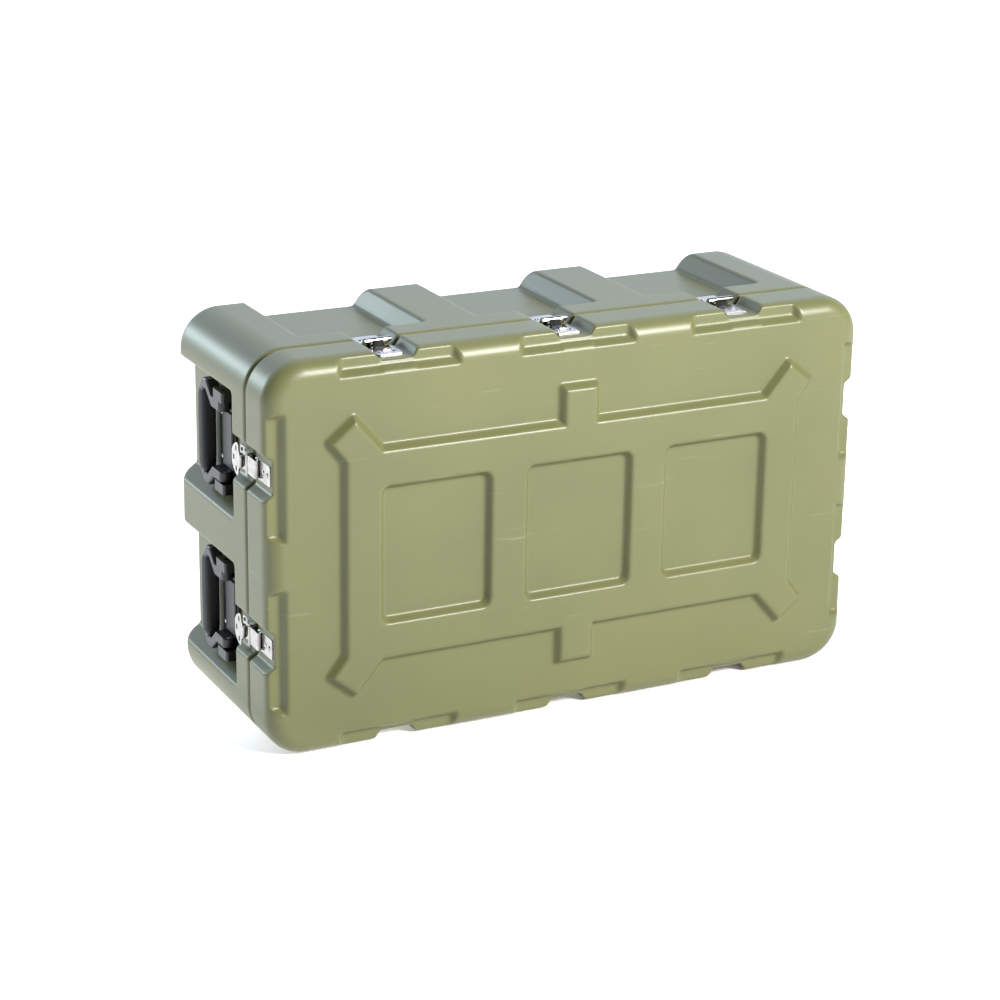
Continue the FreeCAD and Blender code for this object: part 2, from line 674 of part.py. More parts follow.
def latch_wing():
    """Folding wing with three slots; it lies flat behind the cam and lifts on its pin."""
    y = Y_PART + CAM_AT
    fold = y - WING_PIN_BACK
    low = WING_PIN_Z - WING_THICKNESS / 2
    high = WING_PIN_Z + WING_THICKNESS / 2
    plate = prism_z([(x, y + back) for x, back in wing_outline()], low, high)
    plate = plate.makeFillet(WING_ROUND, edges_along(plate, 2))
    neck = box(-WING_KNUCKLE_HALF, WING_KNUCKLE_HALF, fold, y, low, high)
    knuckle = rod_x(WING_KNUCKLE, -WING_KNUCKLE_HALF, WING_KNUCKLE_HALF, fold, WING_PIN_Z)
    bore = rod_x(WING_PIN_RADIUS + RUN_CLEARANCE, -WING_KNUCKLE_HALF - CUT, WING_KNUCKLE_HALF + CUT,
                 fold, WING_PIN_Z)
    slots = [slot_z(WING_SLOT_HALF, WING_SLOT, x, y + back, low - CUT, high + CUT)
             for x, back in WING_SLOTS]
    return joined([plate, neck, knuckle]).cut([bore] + slots)


# ---- handles ------------------------------------------------------------------------------
def handle_bracket():
    """Black bracket riveted to the recess floor, with two ears for the handle's pins."""
    pivot = Y_PART + HANDLE_AT
    axis = CELL_FLOOR + HANDLE_LIFT
    top = CELL_FLOOR + BRACKET_PLATE
    plate = box(-BRACKET_HALF, BRACKET_HALF, pivot - BRACKET_FRONT, pivot + BRACKET_BACK,
                CELL_FLOOR, top)
    plate = plate.makeFillet(BRACKET_ROUND, edges_along(plate, 2))
    pad = box(-BRACKET_PAD_HALF, BRACKET_PAD_HALF, pivot + PAD_FRONT, pivot + PAD_BACK,
              top, top + BRACKET_PAD)
    pad_top = [edge for edge in pad.Edges if edge.BoundBox.ZMin > top + BRACKET_PAD / 2]
    pad = pad.makeChamfer(PAD_CHAMFER, pad_top)
    pieces = [plate, pad]
    for x in (-EAR_OUTER, EAR_INNER):
        ear = box(x, x + EAR_OUTER - EAR_INNER, pivot - EAR_LENGTH, pivot + EAR_LENGTH,
                  CELL_FLOOR, CELL_FLOOR + EAR_RISE)
        pieces.append(ear.makeFillet(EAR_ROUND, [edge for edge in edges_along(ear, 0)
                                                 if edge.BoundBox.ZMin > CELL_FLOOR]))
    bore = rod_x(HANDLE_PIN + RUN_CLEARANCE, -EAR_OUTER - CUT, EAR_OUTER + CUT, pivot, axis)
    holes = [rod_z(RIVET_RADIUS + RIVET_SLACK, x, y, z - CUT, z + BRACKET_PLATE + CUT)
             for x, y, z in handle_rivets()]
    return joined(pieces).cut([bore] + holes)


def handle_bail():
    """Two chunky arms and the bar through the grip; folded flat it points to the back."""
    pivot = Y_PART + HANDLE_AT
    axis = CELL_FLOOR + HANDLE_LIFT
    low = axis - BAIL_THICKNESS / 2
    high = axis + BAIL_THICKNESS / 2
    inner = BAIL_HALF - BAIL_ARM
    arm = [(HUB_INNER, 0), (HUB_OUTER, 0), (HUB_OUTER, BAIL_NECK[0]),
           (BAIL_HALF, BAIL_SHOULDER[0]), (BAIL_HALF, BAIL_BACK - BAIL_CHAMFER),
           (BAIL_HALF - BAIL_CHAMFER, BAIL_BACK), (0, BAIL_BACK), (0, BAIL_BAR_FRONT),
           (inner, BAIL_BAR_FRONT), (inner, BAIL_SHOULDER[1]), (HUB_INNER, BAIL_NECK[1])]
    pieces = []
    for side in (-1, 1):
        outline = [(side * x, pivot + y) for x, y in arm]
        pieces.append(prism_z(outline, low, high))
        x0, x1 = sorted((side * HUB_INNER, side * HUB_OUTER))
        pieces.append(rod_x(HUB_RADIUS, x0, x1, pivot, axis))
    bore = rod_x(HANDLE_PIN + RUN_CLEARANCE, -EAR_OUTER, EAR_OUTER, pivot, axis)
    bail = joined(pieces).cut(bore)
    rims = [edge for edge in bail.Edges
            if edge.BoundBox.ZMin > high - 1e-4 and edge.BoundBox.YMin > pivot + HUB_RADIUS]
    return bail.makeChamfer(BAIL_EDGE, rims)


def handle_grip():
    """Soft sleeve moulded round the bail's bar."""
    pivot = Y_PART + HANDLE_AT
    axis = CELL_FLOOR + HANDLE_LIFT
    sleeve = box(-GRIP_HALF, GRIP_HALF, pivot + GRIP_FRONT, pivot + GRIP_BACK,
                 axis - GRIP_THICKNESS / 2, axis + GRIP_THICKNESS / 2)
    sleeve = sleeve.makeFillet(GRIP_ROUND, edges_along(sleeve, 0))
    core = box(-GRIP_HALF - GRIP_LIP, GRIP_HALF + GRIP_LIP,
               pivot + BAIL_BAR_FRONT, pivot + BAIL_BACK,
               axis - BAIL_THICKNESS / 2, axis + BAIL_THICKNESS / 2)
    return sleeve.cut(core)


def handle_pin(side):
    pivot = Y_PART + HANDLE_AT
    axis = CELL_FLOOR + HANDLE_LIFT
    x0, x1 = sorted((side * (HUB_INNER + CUT), side * (EAR_OUTER - CUT)))
    return rod_x(HANDLE_PIN, x0, x1, pivot, axis)


# ---- write every piece --------------------------------------------------------------------
def station_copies(prefix, shape, stations):
    return {prefix + "_" + name: placed(shape, where) for name, where in stations.items()}


def build():
    nodes = {"body_shell": body_shell(), "lid_shell": lid_shell(), "lid_gasket": gasket()}
    nodes["body_rivets"] = rivet_group([
        (HINGE_STATIONS, hinge_rivets(1), LEAF),
        (LATCH_STATIONS, base_rivets(), PLATE),
        (HANDLE_STATIONS, handle_rivets(), BRACKET_PLATE),
    ])
    nodes["lid_rivets"] = rivet_group([
        (HINGE_STATIONS, hinge_rivets(-1), LEAF),
        (LATCH_STATIONS, keeper_rivets(), PLATE),
    ])
    nodes.update(station_copies("hinge_body_leaf", hinge_leaf(1), HINGE_STATIONS))
    nodes.update(station_copies("hinge_lid_leaf", hinge_leaf(-1), HINGE_STATIONS))
    nodes["hinge_pins"] = Part.makeCompound(
        [placed(hinge_pin(), where) for where in HINGE_STATIONS.values()])
    nodes.update(station_copies("latch_base", latch_base(), LATCH_STATIONS))
    nodes.update(station_copies("latch_keeper", latch_keeper(), LATCH_STATIONS))
    nodes.update(station_copies("latch_claw", latch_claw(), LATCH_STATIONS))
    nodes.update(station_copies("latch_cam", latch_cam(), LATCH_STATIONS))
    nodes.update(station_copies("latch_wing", latch_wing(), LATCH_STATIONS))
    nodes.update(station_copies("handle_bracket", handle_bracket(), HANDLE_STATIONS))
    nodes.update(station_copies("handle_bail", handle_bail(), HANDLE_STATIONS))
    nodes.update(station_copies("handle_grip", handle_grip(), HANDLE_STATIONS))
    nodes["handle_pins"] = Part.makeCompound(
        [placed(handle_pin(side), where) for where in HANDLE_STATIONS.values() for side in (-1, 1)])
    return nodes


os.makedirs("parts", exist_ok=True)
for node, shape in build().items():
    shape.exportStep("parts/" + node + ".step")
    print(node, "solids", len(shape.Solids), "valid", shape.isValid(), "volume", round(shape.Volume))
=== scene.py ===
import json
import math

import bmesh
import bpy
import numpy as np
from mathutils import Matrix, Vector


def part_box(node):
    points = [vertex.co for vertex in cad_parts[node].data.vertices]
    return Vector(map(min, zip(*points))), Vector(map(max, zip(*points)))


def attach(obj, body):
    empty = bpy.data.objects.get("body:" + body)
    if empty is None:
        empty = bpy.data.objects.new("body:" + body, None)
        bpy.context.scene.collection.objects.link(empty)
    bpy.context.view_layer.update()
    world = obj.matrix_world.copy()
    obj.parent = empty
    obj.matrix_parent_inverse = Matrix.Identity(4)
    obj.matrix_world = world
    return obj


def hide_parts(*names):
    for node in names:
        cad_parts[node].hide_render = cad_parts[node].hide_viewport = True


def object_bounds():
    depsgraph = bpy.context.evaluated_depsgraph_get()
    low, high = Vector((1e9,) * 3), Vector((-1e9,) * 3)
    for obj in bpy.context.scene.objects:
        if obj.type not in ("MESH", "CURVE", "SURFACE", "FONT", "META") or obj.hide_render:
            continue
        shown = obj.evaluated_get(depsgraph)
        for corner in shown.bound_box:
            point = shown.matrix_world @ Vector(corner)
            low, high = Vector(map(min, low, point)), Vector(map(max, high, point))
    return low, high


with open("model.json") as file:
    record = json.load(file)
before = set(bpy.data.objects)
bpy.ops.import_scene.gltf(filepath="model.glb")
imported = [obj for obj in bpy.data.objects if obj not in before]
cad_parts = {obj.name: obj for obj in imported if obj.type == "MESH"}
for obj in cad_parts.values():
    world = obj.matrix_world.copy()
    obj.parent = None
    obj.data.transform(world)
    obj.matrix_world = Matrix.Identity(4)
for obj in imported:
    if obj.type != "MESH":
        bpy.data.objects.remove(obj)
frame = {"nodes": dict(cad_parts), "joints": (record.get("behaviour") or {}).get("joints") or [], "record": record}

cad_low, cad_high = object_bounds()

# ---------------------------------------------------------------------------------------
# Camera and studio.
# A plain white sweep with a painted glow of its own, a soft key from the right and a small cool
# light behind the case's left end. The camera stands a little above the lid and to its left.
# ---------------------------------------------------------------------------------------
VIEW_AZIMUTH, VIEW_ELEVATION, VIEW_ROLL = -27.01, 18.93, 0.91
LENS = 97.65
case_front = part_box("lid_shell")[0].y
CAMERA_AT = Vector((-1.61934, case_front - 2.94576, 1.45076))
SENSOR_WIDTH = 36.0
SKY_STRENGTH = 1.65
SKY_DIM, SKY_BRIGHT, SKY_SHOWN = "2a2f36", "dce9ff", "e8ecf0"
SKY_RAMP = (0.15, 0.75)             # where the sky begins to brighten, and where it is full
NEAR_GLOW, FULL_GLOW = 0.1, 1.2     # the sweep's painted glow, just before the case and beyond
SWEEP_BACK = (-0.25, 1.0, 0.0)
BACK_START, BACK_FULL = -0.15, 0.2  # metres along that direction
ROUND_START, ROUND_FULL = 1.2, 1.9  # metres from the middle
BACKDROP_SIDE = (0.15, 0.97, 0.18)
FLOOR_REACH, FLOOR_DROP = 40.0, 0.0003
FRONT_KEY = {"at": (1.35, -2.9, 2.1), "towards": (-0.2, 0, 0.35), "size": (1.2, 1.0),
             "power": 52, "colour": "fffdf8", "spread": 80}
BACK_LEFT_GLOW = {"at": (-1.9, 2.8, 1.1), "towards": (-0.42, 0.1, 0.6), "size": (1.2, 0.6),
                  "power": 4, "colour": "dcf2f4", "spread": 60}


def make_camera():
    azimuth, elevation, roll = (math.radians(a) for a in (VIEW_AZIMUTH, VIEW_ELEVATION, VIEW_ROLL))
    back = Vector((math.sin(azimuth) * math.cos(elevation),
                   -math.cos(azimuth) * math.cos(elevation), math.sin(elevation)))
    right = Vector((math.cos(azimuth), math.sin(azimuth), 0))
    up = back.cross(right)
    turned_right = right * math.cos(roll) + up * math.sin(roll)
    turned_up = up * math.cos(roll) - right * math.sin(roll)
    camera = bpy.data.objects.new("camera", bpy.data.cameras.new("camera"))
    camera.data.sensor_width = SENSOR_WIDTH
    camera.data.lens = LENS
    axes = Matrix((turned_right, turned_up, back)).transposed()
    camera.matrix_world = Matrix.Translation(CAMERA_AT) @ axes.to_4x4()
    bpy.context.scene.collection.objects.link(camera)
    bpy.context.scene.camera = camera


def linear(code):
    """sRGB hex colour to linear RGBA."""
    parts = [int(code[i:i + 2], 16) / 255 for i in (0, 2, 4)]
    return [p / 12.92 if p <= 0.04045 else ((p + 0.055) / 1.055) ** 2.4 for p in parts] + [1.0]


def add(tree, kind, links=None, **settings):
    """Adds a node; settings are its attributes or inputs, links are {input: output socket}."""
    node = tree.nodes.new(kind)
    for name, value in settings.items():
        if hasattr(node, name):
            setattr(node, name, value)
        else:
            node.inputs[name.replace("_", " ")].default_value = value
    for name, socket in (links or {}).items():
        tree.links.new(socket, node.inputs[name])
    return node


def new_material(name):
    material = bpy.data.materials.new(name)
    material.use_nodes = True
    material.node_tree.nodes.clear()
    return material, material.node_tree


def finish_material(tree, shader):
    output = add(tree, "ShaderNodeOutputMaterial")
    tree.links.new(shader.outputs["BSDF"], output.inputs["Surface"])


def area_light(name, at, towards, size, power, colour, spread):
    light = bpy.data.lights.new(name, "AREA")
    light.spread = math.radians(spread)
    light.shape = "RECTANGLE"
    light.size, light.size_y = size
    light.energy = power
    light.color = linear(colour)[:3]
    lamp = bpy.data.objects.new(name, light)
    lamp.location = at
    lamp.rotation_euler = (Vector(towards) - Vector(at)).to_track_quat("-Z", "Y").to_euler()
    bpy.context.scene.collection.objects.link(lamp)


def make_studio():
    """White sweep with a painted glow, in a room that is bright behind the case and dim before it."""
    world = bpy.data.worlds.new("white_studio")
    world.use_nodes = True
    tree = world.node_tree
    sky = tree.nodes["Background"]
    sky.inputs["Strength"].default_value = SKY_STRENGTH
    place = add(tree, "ShaderNodeTexCoord").outputs["Generated"]
    away = add(tree, "ShaderNodeVectorMath", {"Vector": place}, operation="DOT_PRODUCT")
    away.inputs[1].default_value = BACKDROP_SIDE
    fall = add(tree, "ShaderNodeValToRGB", {"Fac": away.outputs["Value"]})
    fall.color_ramp.interpolation = "EASE"
    for stop, position, colour in zip(fall.color_ramp.elements, SKY_RAMP,
                                      (SKY_DIM, SKY_BRIGHT)):
        stop.position, stop.color = position, linear(colour)
    seen = add(tree, "ShaderNodeLightPath").outputs["Is Camera Ray"]
    shown = add(tree, "ShaderNodeMix", {"Factor": seen}, data_type="RGBA")
    tree.links.new(fall.outputs["Color"], shown.inputs["A"])
    shown.inputs["B"].default_value = linear(SKY_SHOWN)
    tree.links.new(shown.outputs["Result"], sky.inputs["Color"])
    bpy.context.scene.world = world
    bpy.context.scene.view_settings.view_transform = "Standard"
    floor_mesh = bpy.data.meshes.new("floor")
    corners = [(x * FLOOR_REACH, y * FLOOR_REACH, 0)
               for x, y in ((-1, -1), (1, -1), (1, 1), (-1, 1))]
    floor_mesh.from_pydata(corners, [], [(0, 1, 2, 3)])
    floor = bpy.data.objects.new("floor", floor_mesh)
    floor.location.z = cad_low.z - FLOOR_DROP
    bpy.context.scene.collection.objects.link(floor)
    material, tree = new_material("white_sweep_painted_glow")
    place = add(tree, "ShaderNodeTexCoord").outputs["Object"]
    backwards = add(tree, "ShaderNodeVectorMath", {"Vector": place}, operation="DOT_PRODUCT")
    backwards.inputs[1].default_value = SWEEP_BACK
    behind = add(tree, "ShaderNodeMapRange", {"Value": backwards.outputs["Value"]},
                 From_Min=BACK_START, From_Max=BACK_FULL)
    from_middle = add(tree, "ShaderNodeVectorMath", {"Vector": place}, operation="LENGTH")
    around = add(tree, "ShaderNodeMapRange", {"Value": from_middle.outputs["Value"]},
                 From_Min=ROUND_START, From_Max=ROUND_FULL)
    either = add(tree, "ShaderNodeMath", {0: behind.outputs["Result"],
                                          1: around.outputs["Result"]}, operation="MAXIMUM")
    # Painted glow: the floor emits light of its own, NEAR_GLOW just before the case and FULL_GLOW behind and
    # around it. This lights the case from below and keeps the far floor white.
    glow = add(tree, "ShaderNodeMapRange", {"Value": either.outputs["Value"]},
               To_Min=NEAR_GLOW, To_Max=FULL_GLOW)
    sweep = add(tree, "ShaderNodeBsdfPrincipled",
                {"Emission Strength": glow.outputs["Result"]}, Base_Color=linear("f2f2f2"),
                Roughness=0.9, Emission_Color=linear("ffffff"))
    finish_material(tree, sweep)
    floor_mesh.materials.append(material)
    area_light("front_key", **FRONT_KEY)
    area_light("back_left_glow", **BACK_LEFT_GLOW)


make_camera()
make_studio()

# ---------------------------------------------------------------------------------------
# Lid and body shells.
# Two rotationally moulded polyethylene shells, about 5 mm thick, with every edge rounded by
# the mould. Each is one solid distance field, turned into an even mesh, so that ribs, steps
# and notches run into each other with the mould's own soft radii.
# ---------------------------------------------------------------------------------------
MM = 0.001
WALL = 5.0
CORNER_RADIUS = 55.0
FRONT_ROUND = 24.0
BACK_ROUND = 27.0
PART_ROUND = 6.0
RIM_WIDTH = 24.0
RIM_DEPTH = 14.0
RIM_EDGE = 1.5           # radius on the rim's inner edges
SOFT_EDGE = 2.4          # radius on most outside edges
FINE_EDGE = 1.8          # on the notches and the rim
VALLEY = 3.0             # radius in most inside corners
MESH_STEP = 1.9
MOST_FACES = 170000      # triangles kept in a shell when its flats are merged
GRID_SHIFT = 1.37        # steps, keeps the samples off the flat faces

hinge_at = Vector(next(j for j in frame["joints"] if j["name"] == "lid_hinge")["pos_m"]) / MM
lid_low, lid_high = (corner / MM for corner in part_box("lid_shell"))
body_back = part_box("body_shell")[1].y / MM
HALF_X = (lid_high.x - lid_low.x) / 2
HALF_Z = (lid_high.z - lid_low.z) / 2
MID_Z = (lid_high.z + lid_low.z) / 2
FRAME_RISE = 11.6
face_y = lid_low.y + FRAME_RISE
part_y = hinge_at.y
LID_DEPTH = part_y - face_y
FULL_DEPTH = body_back - face_y
PART_GAP = 1.0

east_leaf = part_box("hinge_lid_leaf_east")
LONG_PITCH = (east_leaf[0].x + east_leaf[1].x) / 2 / MM
upper_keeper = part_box("latch_keeper_left_upper")
END_PITCH = (upper_keeper[0].z + upper_keeper[1].z) / 2 / MM - MID_Z
CORNER_RIB_LONG, CORNER_RIB_END = 92.0, 62.0
LONG_CELL = 2 * (HALF_X - CORNER_RIB_LONG - LONG_PITCH)
END_CELL = 2 * (HALF_Z - CORNER_RIB_END - END_PITCH)


def fillet_union(a, b, radius):
    wedge = np.hypot(np.maximum(radius - a, 0), np.maximum(radius - b, 0))
    return np.maximum(radius, np.minimum(a, b)) - wedge


def round_overlap(a, b, radius):
    wedge = np.hypot(np.maximum(radius + a, 0), np.maximum(radius + b, 0))
    return np.minimum(-radius, np.maximum(a, b)) + wedge


def rounded_rectangle(x, z, half_x, half_z, radius):
    over_x = np.abs(x) - (half_x - radius)
    over_z = np.abs(z) - (half_z - radius)
    outside = np.hypot(np.maximum(over_x, 0), np.maximum(over_z, 0))
    return outside + np.minimum(np.maximum(over_x, over_z), 0) - radius


def outline_distance(x, z, points):
    """Signed distance to a closed outline, negative inside."""
    nearest = np.full(np.broadcast(x, z).shape, 1e9)
    inside = np.zeros(nearest.shape, bool)
    for (ax, az), (bx, bz) in zip(points, points[1:] + points[:1]):
        run_x, run_z = bx - ax, bz - az
        share = ((x - ax) * run_x + (z - az) * run_z) / (run_x ** 2 + run_z ** 2)
        share = np.clip(share, 0, 1)
        nearest = np.minimum(nearest, np.hypot(x - ax - share * run_x, z - az - share * run_z))
        if bz != az:
            crosses = (az > z) != (bz > z)
            inside ^= crosses & (x < ax + (z - az) / run_z * run_x)
    return np.where(inside, -nearest, nearest)


def leaning(distance, along, slope):
    """Distance to a drafted wall that moves outwards by slope for each millimetre along."""
    return (distance - slope * along) / math.hypot(1, slope)


# Raised frame on the lid: corner ears, centre tabs and three windows.
FRAME_MARGIN_X, FRAME_MARGIN_Z = 97.0, 117.0
FRAME_DRAFT, WINDOW_DRAFT = 8.2, 7.5
SIDE_BAR, MID_BAR = 60.4, 62.8
EAR_ROOT_SIDE, EAR_ROOT_TOP = 18.6, 59.4
EAR_TIP_SIDE, EAR_TIP_TOP = (22.9, 11.3), (-19.9, 45.5)
TAB_HALF, TAB_REACH = 29.8, 48.2
TIP_RADIUS = 6.0


def inset_outline(points, distance):
    """Moves every side of a counter-clockwise outline inwards by distance."""
    moved = []
    for index, (x, z) in enumerate(points):
        before, after = points[index - 1], points[(index + 1) % len(points)]
        length_in = math.hypot(x - before[0], z - before[1])
        length_out = math.hypot(after[0] - x, after[1] - z)
        in_x, in_z = -(z - before[1]) / length_in, (x - before[0]) / length_in
        out_x, out_z = -(after[1] - z) / length_out, (after[0] - x) / length_out
        share = distance / (1 + in_x * out_x + in_z * out_z)
        moved.append((x + share * (in_x + out_x), z + share * (in_z + out_z)))
    return moved


def frame_outline():
    edge_x, edge_z = HALF_X - FRAME_MARGIN_X, HALF_Z - FRAME_MARGIN_Z
    quarter = [(edge_x, edge_z - EAR_ROOT_SIDE),
               (edge_x + EAR_TIP_SIDE[0], edge_z + EAR_TIP_SIDE[1]),
               (edge_x + EAR_TIP_TOP[0], edge_z + EAR_TIP_TOP[1]),
               (edge_x - EAR_ROOT_TOP, edge_z), (TAB_HALF, edge_z),
               (TAB_HALF, edge_z + TAB_REACH)]
    upper = quarter + [(-x, z) for x, z in reversed(quarter)]
    return upper + [(-x, -z) for x, z in upper]


def raised_frame(x, z, depth, soft):
    outline = outline_distance(x, z, inset_outline(frame_outline(), TIP_RADIUS)) - TIP_RADIUS
    side = leaning(outline, depth, FRAME_DRAFT / FRAME_RISE)
    form = round_overlap(side, -depth - FRAME_RISE, soft * SOFT_EDGE)
    inner = HALF_X - FRAME_MARGIN_X - SIDE_BAR
    half_z = HALF_Z - FRAME_MARGIN_Z - SIDE_BAR
    width = (2 * inner - 2 * MID_BAR) / 3
    for middle in (0, width + MID_BAR):
        window = rounded_rectangle(x - middle, z, width / 2, half_z, TIP_RADIUS)
        slope = leaning(window, -depth, WINDOW_DRAFT / FRAME_RISE)
        form = round_overlap(form, -slope, soft * SOFT_EDGE)
    return form


# Rebates in the lid's edge, notches for the hardware, and recesses between the ribs.
REBATE_HALF, REBATE_IN, REBATE_RUN, REBATE_DEPTH = 85.0, 26.0, 8.0, 12.0
PAD_HALF, PAD_RISE, PAD_EDGE, PAD_FILLET = 23.0, 0.8, 2.5, 0.8
NOTCH_HALF, NOTCH_FLOOR_HALF, NOTCH_DEPTH = 31.0, 22.5, 12.5
BAND_DEPTH, BAND_DRAFT = 45.0, 11.0
CELL_DEPTH, CELL_DRAFT = 27.0, 14.7


def stations(x, z):
    """Distance along the edge and in from the surface, for the stations of one quarter."""
    from_long, from_end = HALF_Z - z, HALF_X - x
    return [("long", np.abs(x), from_long), ("long", np.abs(x - LONG_PITCH), from_long),
            ("end", np.abs(z - END_PITCH), from_end)]


def rebate(along, inset, depth, soft):
    slope = REBATE_RUN / REBATE_DEPTH
    back = leaning(inset - REBATE_IN, -depth, slope)
    ends = leaning(along - REBATE_HALF, -depth, slope)
    corner = round_overlap(back, ends, soft * VALLEY)
    return round_overlap(corner, depth - REBATE_DEPTH, soft * VALLEY)


def rebate_pad(along, inset, depth):
    """Low pad on the slope of a rebate in a long side."""
    rise = -leaning(inset - REBATE_IN, -depth, REBATE_RUN / REBATE_DEPTH) - PAD_RISE
    height = np.abs(depth - REBATE_DEPTH / 2) - (REBATE_DEPTH / 2 - PAD_EDGE)
    buried = REBATE_IN - REBATE_DEPTH - inset
    return np.maximum(np.maximum(rise, along - PAD_HALF), np.maximum(height, buried))


def notch(along, inset, soft):
    slope = (NOTCH_HALF - NOTCH_FLOOR_HALF) / NOTCH_DEPTH
    wall = leaning(along - NOTCH_HALF, -inset, slope)
    return round_overlap(wall, inset - NOTCH_DEPTH, soft * FINE_EDGE)


def recess(along, inset, depth, length, soft):
    sides = leaning(along - length / 2, -inset, CELL_DRAFT / CELL_DEPTH)
    front = leaning(LID_DEPTH + BAND_DEPTH - depth, -inset, BAND_DRAFT / CELL_DEPTH)
    corner = round_overlap(sides, front, soft * 2 * VALLEY)
    return round_overlap(corner, inset - CELL_DEPTH, soft * VALLEY)


def lid_form(x, z, depth, soft):
    """Outline distance and the lid's outer form; soft scales the mould's small radii."""
    edge = rounded_rectangle(x, z, HALF_X, HALF_Z, CORNER_RADIUS)
    form = round_overlap(edge, -depth, FRONT_ROUND)
    form = fillet_union(form, raised_frame(x, z, depth, soft), soft * SOFT_EDGE)
    for kind, along, inset in stations(x, z):
        form = round_overlap(form, -rebate(along, inset, depth, soft), soft * SOFT_EDGE)
        if kind == "long":
            form = fillet_union(form, rebate_pad(along, inset, depth), soft * PAD_FILLET)
        form = round_overlap(form, -notch(along, inset, soft), soft * FINE_EDGE)
    return edge, form


def body_form(x, z, depth, soft):
    edge = rounded_rectangle(x, z, HALF_X, HALF_Z, CORNER_RADIUS)
    form = round_overlap(edge, depth - FULL_DEPTH, BACK_ROUND)
    for kind, along, inset in stations(x, z):
        length = LONG_CELL if kind == "long" else END_CELL
        form = round_overlap(form, -recess(along, inset, depth, length, soft), soft * VALLEY)
        behind = depth - LID_DEPTH - BAND_DEPTH - BAND_DRAFT
        channel = np.maximum(notch(along, inset, soft), behind)
        form = round_overlap(form, -channel, soft * FINE_EDGE)
    return edge, form


def hollowed(edge, outside, inside, from_rim):
    """Shell with a flat rim; from_rim is the distance from the rim's face into the shell.
    The room is offset from the form without small radii, so that no wall comes out thin."""
    outer = round_overlap(outside, -from_rim, PART_ROUND)
    room = round_overlap(inside + WALL, RIM_DEPTH - from_rim, FINE_EDGE)
    mouth = np.maximum(edge + RIM_WIDTH, from_rim - RIM_DEPTH - WALL)
    return round_overlap(outer, -np.minimum(room, mouth), RIM_EDGE)


def net_of(field, xs, ys, zs):
    """Surface net of a sampled field: one vertex in each mixed cell, quads between them."""
    inside = field < 0
    corners = [(i, j, k) for i in (0, 1) for j in (0, 1) for k in (0, 1)]

    def shifted(array, corner):
        return array[tuple(slice(c, array.shape[a] - 1 + c) for a, c in enumerate(corner))]

    count = sum(shifted(inside, c).astype(np.uint8) for c in corners)
    cells = np.argwhere((count > 0) & (count < 8))
    axes = (xs, ys, zs)
    values, places = [], []
    for corner in corners:
        at = cells + corner
        values.append(field[at[:, 0], at[:, 1], at[:, 2]])
        places.append(np.stack([axes[a][at[:, a]] for a in range(3)], 1))
    total = np.zeros((len(cells), 3))
    hits = np.zeros(len(cells))
    for first, a in enumerate(corners):
        for axis in range(3):
            if a[axis] == 1:
                continue
            b = tuple(1 if n == axis else c for n, c in enumerate(a))
            second = corners.index(b)
            cross = (values[first] < 0) != (values[second] < 0)
            gap = np.where(cross, values[first] - values[second], 1)
            share = np.where(cross, values[first] / gap, 0)
            point = places[first] + share[:, None] * (places[second] - places[first])
            total += point * cross[:, None]
            hits += cross
    verts = total / hits[:, None]
    index = np.full(count.shape, -1, np.int32)
    index[tuple(cells.T)] = np.arange(len(cells))
    quads = []
    for axis in range(3):
        lower = [slice(None)] * 3
        upper = [slice(None)] * 3
        lower[axis], upper[axis] = slice(0, -1), slice(1, None)
        side_a, side_b = inside[tuple(lower)], inside[tuple(upper)]
        other = [n for n in range(3) if n != axis]
        for sign, mask in ((1, side_a & ~side_b), (-1, ~side_a & side_b)):
            at = np.argwhere(mask)
            at = at[np.all([(at[:, n] > 0) & (at[:, n] < count.shape[n]) for n in other], 0)]
            ring = []
            for step in ((0, 0), (1, 0), (1, 1), (0, 1)):
                cell = at.copy()
                cell[:, other[0]] -= step[0]
                cell[:, other[1]] -= step[1]
                ring.append(index[tuple(cell.T)])
            quad = np.stack(ring, 1)
            flip = (sign > 0) == (axis == 1)
            quads.append(quad[:, ::-1] if flip else quad)
    return verts, np.concatenate(quads)


def mesh_from_arrays(name, verts, quads):
    mesh = bpy.data.meshes.new(name)
    mesh.vertices.add(len(verts))
    mesh.vertices.foreach_set("co", verts.astype(np.float32).ravel())
    mesh.loops.add(quads.size)
    mesh.loops.foreach_set("vertex_index", quads.astype(np.int32).ravel())
    mesh.polygons.add(len(quads))
    mesh.polygons.foreach_set("loop_start", np.arange(len(quads), dtype=np.int32) * 4)
    mesh.update(calc_edges=True)
    mesh.validate()
    piece = bpy.data.objects.new(name, mesh)
    bpy.context.scene.collection.objects.link(piece)
    return piece


def plain_mesh(piece):
    """Applies a piece's modifiers."""
    depsgraph = bpy.context.evaluated_depsgraph_get()
    mesh = bpy.data.meshes.new_from_object(piece.evaluated_get(depsgraph), depsgraph=depsgraph)
    old = piece.data
    piece.modifiers.clear()
    piece.data = mesh
    bpy.data.meshes.remove(old)


def shade_smooth(piece):
    piece.data.polygons.foreach_set("use_smooth", [True] * len(piece.data.polygons))


